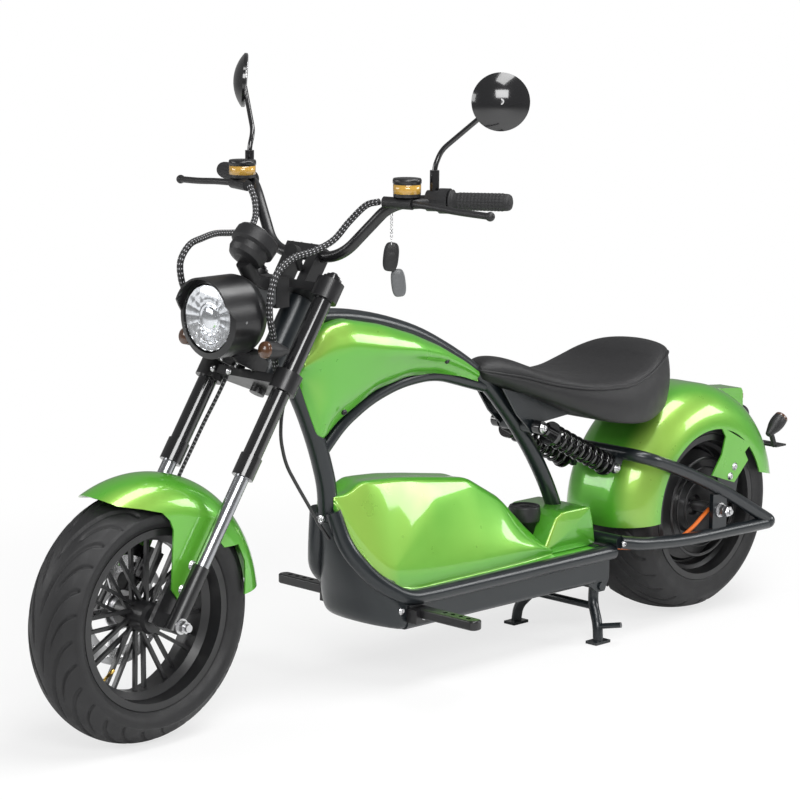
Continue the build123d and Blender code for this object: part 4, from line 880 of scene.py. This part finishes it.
@dataclass
class TankShells:
    """Pair of smooth shells between the backbone and the arch tube."""

    # x, lower z, upper z, half width at the crest, crest z
    stations: tuple = (
        (1166, 652, 690, 44, 672),
        (1130, 574, 726, 54, 690),
        (1102, 512, 748, 58, 700),
        (1050, 553, 756, 63, 702),
        (950, 601, 736, 65, 684),
        (860, 618, 708, 60, 672),
        (780, 616, 676, 48, 654),
        (700, 600, 634, 33, 622),
        (652, 584, 604, 25, 597),
    )
    inner: float = 16.0

    def half(self, side: int) -> Shape:
        """One shell: rounded top, crisp crest and a tucked panel under it.

        Args:
            side: 1 for the left shell and -1 for the right one.

        Returns:
            Points and faces.
        """
        x, low, high, half, crest = creased_rows(self.stations, 200, 13)[::-1].T
        i = np.full_like(x, self.inner)
        drop = crest - low
        corners_y = np.stack([i, i, 0.5 * (half + i), 0.88 * half, half, 0.78 * half, 0.55 * half + 4, i + 3],
                             axis=1)
        corners_z = np.stack([low, high, high - 2, 0.42 * high + 0.58 * crest + 6, crest, crest - 0.34 * drop,
                              crest - 0.72 * drop, low], axis=1)
        y, z = outline_samples(corners_y, corners_z, 8)
        y[:, 8:] = soften(y[:, 8:], 7)
        z[:, 8:] = soften(z[:, 8:], 7)
        points = np.stack([np.broadcast_to(x[:, None], y.shape), side * y, z], axis=-1)
        flat, faces = skin(points)
        return flat, [f[::-1] for f in faces] if side < 0 else faces

    def build(self) -> None:
        """Makes both shells as one piece."""
        shells = make_object("smooth_tank", both_sides(self.half), GREEN_PAINT, Body.FRAME)
        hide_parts("tank_halves")


@dataclass
class BellyNose:
    """Rounded front end of the battery box between the frame rails."""

    # z, rear x, front x, half width
    stations: tuple = (
        (126.5, 932, 962, 96),
        (134, 934, 984, 106),
        (152, 938, 1000, 109),
        (190, 943, 1012, 108),
        (240, 972, 1032, 84),
        (300, 1010, 1056, 52),
        (350, 1040, 1073, 26),
    )

    def build(self) -> None:
        """Makes the nose: x = rear + (front - rear) * cos(a) ** 0.6 and y = half * sin(a) at each height."""
        z, rear, front, half = smooth_curve(self.stations, 60).T[:, :, None]
        a = np.linspace(-np.pi / 2, np.pi / 2, 61)[None, :]
        x = rear + (front - rear) * np.abs(np.cos(a)) ** 0.6
        y = half * np.sin(a)
        back = np.linspace(1, -1, 12)[None, 1:-1]
        x = np.concatenate([x, rear + 0 * back], axis=1)
        y = np.concatenate([y, half * back], axis=1)
        points = np.stack([x, y, np.broadcast_to(z, x.shape)], axis=-1)
        nose = make_object("belly_nose", skin(points), FRAME_PAINT, Body.FRAME)
        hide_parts("front_shield")


@dataclass
class BraidedHoses:
    """Thick braided sleeves from the levers to the lower yoke, and the thin hose to the caliper."""

    left: tuple = ((1105, 180, 1001), (1112, 152, 992), (1126, 122, 960), (1150, 104, 925), (1190, 92, 906),
                   (1236, 84, 896), (1276, 84, 872), (1296, 86, 832), (1300, 88, 790), (1288, 84, 752),
                   (1276, 75, 708), (1264, 71, 668))
    right: tuple = ((1105, -180, 1001), (1110, -160, 975), (1122, -146, 943), (1156, -132, 920),
                    (1206, -122, 922), (1258, -110, 926), (1306, -96, 922), (1348, -84, 914), (1374, -80, 886),
                    (1372, -80, 850), (1354, -84, 818), (1330, -90, 784), (1304, -90, 756), (1284, -82, 730),
                    (1274, -75, 700), (1264, -71, 668))
    # Across, left of and along the fork
    caliper: tuple = ((-14, -72, 497), (-22, -82, 455), (-30, -94, 405), (-31, -96, 350), (-31, -96.5, 292),
                      (-32, -96, 238), (-38, -90, 188), (-43, -76, 150), (-38, -60, 128), (-26, -53, 118))
    sleeve_r: float = 6.4
    hose_r: float = 3.75
    sides: int = 20

    def build(self) -> None:
        """Makes the three hoses as one piece with a map of metres along and turns round."""
        runs = [(smooth_curve(self.left, 150), self.sleeve_r), (smooth_curve(self.right, 190), self.sleeve_r),
                (smooth_curve([fork_place(*p) for p in self.caliper], 110), self.hose_r)]
        parts, maps = [], []
        for path, radius in runs:
            parts.append(tube(path, radius, self.sides))
            length = np.concatenate([[0.0], np.cumsum(np.linalg.norm(np.diff(path, axis=0), axis=1))]) / 1000.0
            i = np.repeat(np.arange(len(path) - 1), self.sides)
            j = np.tile(np.arange(self.sides), len(path) - 1)
            u = np.stack([length[i], length[i], length[i + 1], length[i + 1]], axis=1)
            v = np.stack([j, j + 1, j + 1, j], axis=1) / self.sides
            maps.append(np.stack([u, v], axis=-1).reshape(-1, 2))
            # Both end caps, one corner for each side
            maps.append(np.zeros((2 * self.sides, 2)))
        hoses = make_object("braided_hoses", join(parts), BraidFinish(), Body.STEERING)
        layer = hoses.data.uv_layers.new(name="along_and_round")
        layer.data.foreach_set("uv", np.concatenate(maps).astype(np.float32).ravel())
        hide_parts("brake_hoses")


@dataclass
class CoilSprings:
    """Pair of coil springs round the shock absorbers."""

    low_eye: Point = (274.0, 60.0, 359.0)
    high_eye: Point = (505.0, 58.0, 475.0)
    start: float = 29.5
    stop: float = 44.5
    coil_r: float = 20.3
    wire_r: float = 4.0
    turns: float = 9.5
    wire_sides: int = 10

    def coil(self, side: int) -> Shape:
        """Wire round the absorber: its middle is the axis point plus coil_r * (n1 cos a + n2 sin a), a rising.

        Args:
            side: 1 for the left spring and -1 for the right one.

        Returns:
            Points and faces.
        """
        low, high = np.array(self.low_eye) * mirror(side), np.array(self.high_eye) * mirror(side)
        n1, n2, axis = axis_frame(high - low)
        t = np.linspace(0, 1, int(self.turns * 28))[:, None]
        length = np.linalg.norm(high - low) - self.start - self.stop
        along = self.start + length * (np.clip(t, 0.05, 0.95) - 0.05) / 0.9
        a = 2 * np.pi * self.turns * t
        outward = n1 * np.cos(a) + n2 * np.sin(a)
        path = low + axis * along + self.coil_r * outward
        ring = full_turn(self.wire_sides)[None, :, None]
        points = path[:, None, :] + self.wire_r * (np.cos(ring) * outward[:, None, :] + np.sin(ring) * axis)
        faces = grid_faces(len(path), self.wire_sides, False, True).tolist()
        last = (len(path) - 1) * self.wire_sides
        faces += [list(range(self.wire_sides))[::-1], [last + k for k in range(self.wire_sides)]]
        return points.reshape(-1, 3), [f[::-1] for f in faces]

    def build(self) -> None:
        """Makes both springs as one piece that stands for the ringed sleeves."""
        springs = make_object("coil_springs", both_sides(self.coil), GLOSS_BLACK, Body.FRAME)
        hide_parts("shock_springs")


@dataclass
class Fasteners:
    """Button-headed bolts and hexagon nuts, each group one joined mesh on its body."""

    sides: int = 18

    def button(self, at: Point, axis: Point, radius: float) -> Shape:
        """Domed head with a round washer under it and a hexagon socket in it.

        Args:
            at: Centre of the seat face.
            axis: Outward direction.
            radius: Head radius.

        Returns:
            Points and faces.
        """
        rise = [(1.35, 0.1), (1.0, 0.14), (0.97, 0.4), (0.72, 0.66), (0.48, 0.72), (0.44, 0.3), (0.0, 0.28)]
        outline = [(0.0, -0.5), (1.35 * radius, -0.5)] + [(radius * r, radius * h) for r, h in rise]
        return lathe(outline, at, axis, self.sides)

    def hexagon(self, at: Point, axis: Point, radius: float) -> Shape:
        """Six-sided nut with chamfered corners and a stud end."""
        rise = [(1.0, 0.66), (0.9, 0.78), (0.55, 0.78), (0.52, 1.25), (0.0, 1.3)]
        outline = [(0.0, -0.5), (radius, -0.5)] + [(radius * r, radius * h) for r, h in rise]
        return lathe(outline, at, axis, 6)

    def build(self) -> None:
        """Puts the bolts that show on the machine."""
        out, up = (0.0, 1.0, 0.0), tuple(FORK_UP)
        # Each row: piece, body, finish, sides, and its heads as seat centre, outward axis and radius
        groups = (
            ("front_guard_bolts", Body.STEERING, STEEL, BOTH,
             [((1486.0, 78.0, 341.0), out, 7.0), ((1511.0, 78.0, 299.0), out, 7.0)]),
            ("rear_guard_bolts", Body.FRAME, STEEL, BOTH,
             [((-76.0, 120.0, 322.0), out, 6.5), ((-61.0, 120.0, 302.0), out, 6.5)]),
            ("peg_bolts", Body.FRAME, STEEL, BOTH,
             [((925.0, 138.0, 158.0), out, 6.0), ((959.0, 108.0, 168.0), out, 6.0)]),
            ("shock_bolts", Body.FRAME, STEEL, BOTH,
             [((505.0, 70.0, 475.0), out, 8.5), ((274.0, 77.0, 359.0), out, 7.5)]),
            ("arm_pivot_bolts", Body.FRAME, STEEL, BOTH, [((316.0, 137.0, 210.0), out, 5.0)]),
            ("lamp_bracket_bolts", Body.STEERING, STEEL, BOTH,
             [((1344.0, 22.0, 684.0), out, 5.0), ((1321.0, 22.0, 701.0), out, 4.0),
              ((1283.0, 22.0, 683.0), out, 4.5)]),
            ("fork_top_bolts", Body.STEERING, SATIN_BLACK, BOTH, [(fork_place(0.0, LEG_Y, 733.0), up, 8.0)]),
            ("bar_clamp_bolts", Body.STEERING, STEEL, BOTH,
             [(fork_place(x, y, 788.0), up, 4.5) for x in (-16.0, 4.0) for y in (14.0, 38.0)]),
            ("tank_bolts", Body.FRAME, SATIN_BLACK, BOTH,
             [((766.0, 40.0, 641.0), (0.2, 0.9, -0.3), 4.0), ((1056.0, 40.0, 572.0), (0.4, 0.9, -0.2), 4.5)]),
            ("down_tube_bolt", Body.FRAME, STEEL, (1,), [((1101.0, 20.0, 361.0), (0.5, 0.85, 0.0), 6.5)]),
            ("lamp_screws", Body.STEERING, STEEL, BOTH,
             [((1349.0, 76.0, 783.0), out, 3.0), ((1362.0, 70.0, 812.0), (0.0, 0.9, 0.4), 3.0),
              ((1362.0, 70.0, 758.0), (0.0, 0.9, -0.4), 3.0)]),
        )
        for name, body, finish, sides, heads in groups:
            shapes = [self.button(np.multiply(at, mirror(side)), np.multiply(axis, mirror(side)), radius)
                      for at, axis, radius in heads for side in sides]
            make_object(name, join(shapes), finish, body)
        nuts = both_sides(lambda side: self.hexagon((0.0, 159.0 * side, REAR_TYRE_R), (0.0, side, 0.0), 12.5))
        make_object("axle_end_nuts", nuts, STEEL, Body.FRAME, smooth=False)


@dataclass
class Headlight:
    """Faceted bright reflector with a projector eye behind clear glass."""

    front_x: float = 1376.0
    height: float = 786.0
    radius: float = 63.3
    facets: int = 18

    def relief(self, r: np.ndarray, a: np.ndarray) -> np.ndarray:
        """Forward height of the reflector: a shallow bowl with radial flutes, a step and a middle eye."""
        share = r / self.radius
        bowl = -5.4 + 4.6 * share ** 2
        flutes = 0.55 * np.abs(np.sin(self.facets * a / 2)) * np.clip((share - 0.42) / 0.1, 0, 1)
        steps = 0.3 * np.clip(np.sin(share * 26), 0, 1) * np.clip((share - 0.42) / 0.1, 0, 1)
        eye = 6.5 * np.sqrt(np.clip(1 - (share / 0.34) ** 2, 0, 1))
        ring = 1.8 * np.clip(1 - np.abs(share - 0.41) / 0.05, 0, 1)
        return np.minimum(bowl + flutes + steps + ring, -0.3) + eye

    def build(self) -> None:
        """Makes the reflector and the glass, which together stand for the lens node."""
        a = full_turn(180)[:, None]
        r = np.linspace(0.0, self.radius, 60)[None, :]
        z = self.relief(r, a)
        points = np.stack([self.front_x + z, r * np.cos(a), self.height + r * np.sin(a)], axis=-1)
        faces = grid_faces(180, 60, True, False)
        reflector = make_object("lamp_reflector", (points, faces), REFLECTOR, Body.STEERING)
        edge, rise, thick = 0.6, 8.2, 1.6
        sphere_r = (self.radius ** 2 + rise ** 2) / (2 * rise)
        rr = np.linspace(0.0, self.radius, 40)
        outer = np.stack([rr, edge + rise - sphere_r + np.sqrt(sphere_r ** 2 - rr ** 2)], axis=1)
        inner = outer[::-1] - np.array([0.0, thick])
        points, faces = lathe(np.vstack([outer, inner]), (self.front_x, 0, self.height), (1, 0, 0), 120)
        glass = make_object("lamp_glass", (points, faces[:, ::-1]), LENS_GLASS, Body.STEERING)
        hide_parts("headlight_lens")
        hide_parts("headlight_lens")


@dataclass
class Controls:
    """Grip ribs, fluid pots, dial, mirror glass, key fobs and lamp lenses."""

    bar_inner: Point = (1050.0, 232.0, 1004.0)
    bar_outer: Point = (978.0, 398.0, 1009.0)
    grip_in_y: float = 290.0
    pot: Point = (1080.0, 229.0, 0.0)
    mirror_head: Point = (962.0, 356.0, 1193.0)
    dial: Point = (1247.0, 0.0, 929.0)
    ticks: int = 25
    tick_r: float = 36.0
    chain_top: Point = (1068.0, 177.0, 976.0)

    def bar_axis(self) -> tuple[np.ndarray, np.ndarray]:
        """Grip's inner end on the bar's middle line, and the bar's outward direction."""
        inner, outer = np.array(self.bar_inner), np.array(self.bar_outer)
        axis = unit(outer - inner)
        return inner + axis * (self.grip_in_y - inner[1]) / axis[1], axis

    def grip(self, side: int) -> Shape:
        """One ribbed rubber grip: r = sleeve + rib * |sin(8 a)| - band between the flange and the end.

        Args:
            side: 1 for the left grip and -1 for the right one.

        Returns:
            Points and faces.
        """
        start, axis = self.bar_axis()
        n1, n2, along = axis_frame(axis * mirror(side))
        a = full_turn(120)[:, None]
        h = np.concatenate([[0.0, 0.01, 0.4, 4.6, 5.2, 8.0], np.linspace(9, 116, 70),
                            [117.8, 119.6, 120.7, 121.4, 121.9, 122.2, 122.4]])[None, :]
        sleeve = np.interp(h, [0, 0.01, 0.4, 4.6, 5.2, 9, 112, 117, 119.6, 121.4, 122.2, 122.4],
                           [0.0, 12, 21.8, 21.8, 16.6, 16, 16.2, 15.2, 13.0, 8.5, 4.0, 0.0])
        middle = np.clip((h - 14) / 3, 0, 1) * np.clip((108 - h) / 3, 0, 1)
        ribs = np.clip(np.abs(np.sin(8 * a)) * 1.6, 0, 1) * middle
        bands = 0.5 * (np.sin(h * 0.9) > 0) * middle
        r = (sleeve + ribs - bands)[:, :, None]
        points = (start * mirror(side) + h[:, :, None] * along
                  + r * (np.cos(a)[:, :, None] * n1 + np.sin(a)[:, :, None] * n2))
        return points.reshape(-1, 3), grid_faces(120, h.shape[1], True, False)[:, ::-1]

    def build_grips(self) -> None:
        """Makes both grips as one piece."""
        grips = make_object("ribbed_grips", both_sides(self.grip), GRIP_RUBBER, Body.STEERING)
        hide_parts("grips")

    def build_pots(self) -> None:
        """Clear window with amber fluid round each pot, and a black screwed cap over it."""
        pots = (
            ("fluid_windows", FLUID, "amber_lens",
             [(0.0, 1019.0), (25.0, 1019.0), (26.5, 1019.5), (26.5, 1036.5), (25.0, 1037.0), (0.0, 1037.0)]),
            ("fluid_caps", SATIN_BLACK, "gloss_black",
             [(0.0, 1038.0), (25.5, 1038.0), (27.4, 1038.6), (27.4, 1045.0), (26.2, 1047.6), (0.0, 1047.8)]),
        )
        for name, finish, slot, outline in pots:
            turned = both_sides(lambda side: lathe(outline, self.pot * mirror(side), UP, 48))
            make_object(name, turned, finish, Body.STEERING)

    def build_mirror_glass(self) -> None:
        """Bright discs on the rider's side of the mirror heads."""
        facing = unit(np.array([-0.72, -0.69, -0.06]))
        outline = [(0.0, 0.0), (51.0, 0.0), (50.6, 0.5), (0.0, 0.7)]
        at = np.array(self.mirror_head) + facing * 7.0
        discs = both_sides(lambda side: lathe(outline, at * mirror(side), facing * mirror(side), 64))
        make_object("mirror_glass", discs, CHROME, Body.STEERING)

    def build_dial(self) -> None:
        """Flat dial with tick marks and a needle, tilted back towards the rider, and its rim."""
        normal = unit(np.array([-1.0, 0.0, 1.0]))
        right = np.array([0.0, -1.0, 0.0])
        up = np.cross(normal, right)
        centre = np.array(self.dial)

        def mark(degrees: float, lift: float, corners: Sequence[tuple[float, float]]) -> Shape:
            """Flat shape over the dial from its corners' distances out from the middle and across."""
            radial = right * math.cos(math.radians(degrees)) + up * math.sin(math.radians(degrees))
            across = np.cross(normal, radial)
            places = np.array([out * radial + side * across for out, side in corners])
            return centre + normal * lift + places, [[0, 1, 2, 3]]

        marks = []
        for k in range(self.ticks):
            long, half = (7.0, 0.9) if k % 4 == 0 else (3.5, 0.5)
            inner, outer = self.tick_r - long, self.tick_r
            marks.append(mark(225 - k * 270 / (self.ticks - 1), 0.35,
                              ((inner, -half), (outer, -half), (outer, half), (inner, half))))
        marks.append(mark(215, 0.6, ((0, -1.4), (29, 0), (0, 1.4), (-8, 0))))
        make_object("dial_marks", join(marks), DIAL_WHITE, Body.STEERING, smooth=False)
        rim = [(40.6, -0.3), (42.4, 0.0), (42.4, 1.0), (41.0, 1.2), (40.4, 0.1), (40.6, -0.3)]
        make_object("dial_rim", lathe(rim, centre, normal, 72), GLOSS_BLACK, Body.STEERING)

    def build_keys(self) -> None:
        """Ring, chain and two blank fobs that hang from the left end of the bar's bend."""
        top = np.array(self.chain_top)
        turn = full_turn(32)[:, None]
        links = []
        for k in range(7):
            flat = np.array([1.0, 0, 0]) if k % 2 else np.array([0, 1.0, 0])
            link = top - UP * (4.0 + 6.6 * k) + 2.6 * np.cos(turn) * flat + 4.4 * np.sin(turn) * UP
            links.append(tube(link, 0.8, 7, loop=True))
        ring = top - UP * 54.0 + 8.0 * (np.cos(turn) * np.array([0.7, 0.7, 0]) + np.sin(turn) * UP)
        links.append(tube(ring, 1.0, 7, loop=True))
        make_object("key_chain", join(links), CHROME, Body.STEERING)
        self.fob("key_fob_dark", np.array([1069.0, 177.0, 893.0]), 15.0, 28.0, 0.10, PLASTIC)
        self.fob("key_fob_grey", np.array([1052.0, 181.0, 842.0]), 14.0, 27.0, -0.12, PALE_GREY)

    def fob(self, name: str, centre: np.ndarray, half_w: float, half_h: float, lean: float,
            finish: Finish) -> None:
        """Pebble with a rounded oblong outline and two button dimples.

        Each half size is multiplied by signed powers of the cosines and sines of two angles, 0.55 to 0.8.

        Args:
            name: Piece name.
            centre: Middle of the fob.
            half_w: Half width.
            half_h: Half height.
            lean: Turn about the view of its broad face.
            finish: Finish of the case.
        """
        u = np.linspace(-np.pi / 2, np.pi / 2, 40)[:, None]
        v = full_turn(56)[None, :]

        def power(value: np.ndarray, exponent: float) -> np.ndarray:
            """Signed power."""
            return np.sign(value) * np.abs(value) ** exponent

        across = half_w * power(np.cos(u), 0.55) * power(np.cos(v), 0.7)
        deep = 5.6 * power(np.cos(u), 0.7) * power(np.sin(v), 0.8)
        tall = half_h * power(np.sin(u), 0.75) + 0 * v
        for spot in (0.35, -0.25):
            dent = np.exp(-((tall - spot * half_h) ** 2 + across ** 2) / 18.0)
            deep = deep - np.sign(deep) * dent
        broad = unit(np.array([0.66, 0.74, 0.0]))
        side = np.array([-broad[1], broad[0], 0.0])
        up = UP * math.cos(lean) + side * math.sin(lean)
        level = side * math.cos(lean) - UP * math.sin(lean)
        points = centre + across[..., None] * level + deep[..., None] * broad + tall[..., None] * up
        make_object(name, (points, grid_faces(40, 56, False, True)[:, ::-1]), finish, Body.STEERING)

    def build_box_plate(self) -> None:
        """Grey cover plate with cut corners on the front of the switch box."""
        outline = ((-28, 797), (-28, 840), (-20, 849), (20, 849), (28, 840), (28, 797))
        points, faces = slab(outline, 1228.5, 1231.5, 1.0, False)
        make_object("box_plate", (points[:, [2, 0, 1]], faces), PALE_GREY, Body.STEERING)

    def build_signal_lenses(self) -> None:
        """Amber domes over the lamps' outer ends, front and rear."""
        outline = [(0.0, -9.0), (15.9, -9.0), (16.4, -6.0), (15.9, -1.0), (15.0, 0.4), (0.0, 0.6)]
        lamps = (("front_signal_lenses", (1338.0, 112.0, 735.0), (60.0, 0.0, 9.0), Body.STEERING),
                 ("rear_signal_lenses", (-293.0, 80.0, 401.0), (-48.0, 0.0, 35.0), Body.FRAME))
        for name, tip, facing, body in lamps:
            domes = both_sides(lambda side: lathe(outline, tip * mirror(side), facing, 40))
            make_object(name, domes, AMBER_LENS, body)

    def build(self) -> None:
        """Makes all the controls' details."""
        self.build_grips()
        self.build_pots()
        self.build_mirror_glass()
        self.build_dial()
        self.build_keys()
        self.build_signal_lenses()
        self.build_box_plate()


@dataclass
class WheelTrim:
    """Valve on the front rim and the ringed motor cover on the rear hub."""

    rim_inner: float = 150.0
    valve_length: float = 36.0
    valve_angle: float = math.radians(-49.0)
    cover_y: float = 93.0
    motor_rings: tuple = ((58.0, 64.0), (86.0, 90.0), (104.0, 112.0))

    def build(self) -> None:
        """Makes the valve with its cap and the rings on both sides of the motor."""
        outward = np.array([math.cos(self.valve_angle), 0.0, math.sin(self.valve_angle)])
        root = np.array([WHEELBASE, 6.0, FRONT_TYRE_R]) + outward * self.rim_inner
        outline = [(0.0, -2.0), (4.6, -2.0), (4.2, 3.0), (2.8, 8.0), (2.8, 22.0), (3.9, 22.6),
                            (3.9, 34.0), (2.6, self.valve_length), (0.0, self.valve_length)]
        valve = lathe(outline, root, np.array([0.0, 0.35, 0.0]) - outward, 24)
        make_object("tyre_valve", valve, BRASS, Body.FRONT_WHEEL)
        rings = [self.ring(side, inner, outer) for side in BOTH for inner, outer in self.motor_rings]
        make_object("motor_cover_rings", join(rings), HUB_BLACK, Body.REAR_WHEEL)

    def ring(self, side: int, inner: float, outer: float) -> Shape:
        """Round ring with an oval section on the motor's cover.

        Args:
            side: 1 for the left cover and -1 for the right one.
            inner: Inner radius.
            outer: Outer radius.

        Returns:
            Points and faces.
        """
        a = full_turn(12)
        turn = full_turn(120)[:, None]
        r = (inner + outer) / 2 + (outer - inner) / 2 * np.cos(a)
        y = side * (self.cover_y + 2.2 * np.sin(a)) + 0 * turn
        points = np.stack([r * np.cos(turn), y, REAR_TYRE_R + r * np.sin(turn)], axis=-1)
        faces = grid_faces(120, 12, True, True)
        return points.reshape(-1, 3), faces if side > 0 else faces[:, ::-1]


@dataclass
class Studio:
    """Pale floor, soft lamps and a camera at the photograph's angle."""

    eye: Point = (5128.62403637, 4198.24568519, 1637.93376456)
    right: Point = (-0.70248, 0.71163, 0.010055)
    up: Point = (-0.118267, -0.130655, 0.984349)
    forward: Point = (-0.701806, -0.690298, -0.175946)
    lens: float = 136.23
    sensor: float = 36.0

    def build_camera(self) -> None:
        """Sets the camera from its place and its three directions."""
        data = bpy.data.cameras.new("photo_camera")
        data.lens = self.lens
        data.sensor_width = self.sensor
        data.clip_end = 100.0
        camera = bpy.data.objects.new("photo_camera", data)
        bpy.context.scene.collection.objects.link(camera)
        axes = np.stack([self.right, self.up, -np.array(self.forward)], axis=1)
        turn = Matrix(axes.tolist()).to_quaternion().to_matrix().to_4x4()
        camera.matrix_world = Matrix.Translation(Vector(place(np.array(self.eye)))) @ turn
        bpy.context.scene.camera = camera

    def build_floor(self) -> None:
        """Large pale floor that shows white to the camera and keeps the machine's shadow."""
        half, low = 14.0, -0.0006
        mesh = bpy.data.meshes.new("floor")
        mesh.from_pydata([(-half, -half, low), (half, -half, low), (half, half, low), (-half, half, low)], [],
                         [(0, 1, 2, 3)])
        floor = bpy.data.objects.new("floor", mesh)
        bpy.context.scene.collection.objects.link(floor)
        material = bpy.data.materials.new("pale_floor")
        graph = Graph(material)
        grain = graph.add("TexNoise", "Fac", {"Scale": 3.0})
        shader = graph.feed(graph.tree.nodes["Principled BSDF"], {
            "Base Color": graph.blend(grain, opaque((0.86, 0.86, 0.86)), opaque((0.90, 0.90, 0.90))),
            "Roughness": 0.9})
        reach = graph.add("VectorMath", "Value", {0: graph.add("TexCoord", "Object")}, operation="LENGTH")
        fade = graph.add("MapRange", "Result", interpolation_type="SMOOTHSTEP",
                         inputs={"Value": reach, "From Min": 0.9, "From Max": 1.9, "To Min": 0.72})
        seen = graph.add("Math", 0, {0: fade, 1: graph.add("LightPath", "Is Camera Ray")}, operation="MULTIPLY")
        surface = graph.add("MixShader", 0, {0: seen, 1: shader.outputs[0], 2: graph.add("Emission", 0)})
        graph.feed(graph.tree.nodes["Material Output"], {"Surface": surface})
        mesh.materials.append(material)

    def build_lamps(self) -> None:
        """Soft key from the front left, fill from the right and a long overhead strip."""
        rows = (
            ("key", (3.0, 3.4, 3.0), 2.6, 1.6, 125.0),
            ("fill", (3.4, -2.4, 1.8), 2.4, 1.2, 50.0),
            ("overhead", (-0.3, 1.0, 3.6), 4.0, 1.2, 110.0),
            ("rear", (-3.4, 2.6, 2.0), 2.0, 1.2, 55.0),
        )
        for name, at, width, height, power in rows:
            data = bpy.data.lights.new(name, "AREA")
            data.shape = "RECTANGLE"
            data.size, data.size_y = width, height
            data.energy = power
            lamp = bpy.data.objects.new(name, data)
            bpy.context.scene.collection.objects.link(lamp)
            aim = Vector((0.0, 0.0, 0.5)) - Vector(at)
            turn = aim.to_track_quat("-Z", "Y").to_matrix().to_4x4()
            lamp.matrix_world = Matrix.Translation(Vector(at)) @ turn

    def build_world(self) -> None:
        """White surroundings for the camera and reflections, and a gentler white for the light."""
        world = bpy.data.worlds.new("studio")
        bpy.context.scene.world = world
        graph = Graph(world)
        strength = graph.add("MapRange", "Result", {"Value": graph.add("LightPath", "Is Camera Ray"),
                                                    "To Min": 0.24, "To Max": 1.0})
        graph.feed(graph.tree.nodes["Background"], {"Color": opaque((1.0, 1.0, 1.0)), "Strength": strength})

    def build(self) -> None:
        """Sets up everything round the machine."""
        bpy.context.scene.view_settings.view_transform = "Standard"
        self.build_camera()
        self.build_floor()
        self.build_lamps()
        self.build_world()


def main() -> None:
    """Builds the dressed machine, one sub-assembly after another."""
    Studio().build()
    Paintbox().dress()
    front = Tyre("front_tread", "front_tyre", Body.FRONT_WHEEL, centre_x=WHEELBASE, radius=FRONT_TYRE_R,
                 width=134.0, rim_r=165.0, shoulder_drop=22.0, bead_half=47.0, grooves=14, tread=Tread.FRONT)
    rear = Tyre("rear_tread", "rear_tyre", Body.REAR_WHEEL, centre_x=0.0, radius=REAR_TYRE_R, width=212.0,
                rim_r=154.0, shoulder_drop=15.0, bead_half=96.0, grooves=14, tread=Tread.REAR)
    machine = (front, rear, BatteryCover(), TankShells(), BellyNose(), BraidedHoses(), Saddle(), CoilSprings(),
               Fasteners(), Headlight(), Controls(), WheelTrim())
    for assembly in machine:
        assembly.build()


if __name__ == "__main__":
    main()
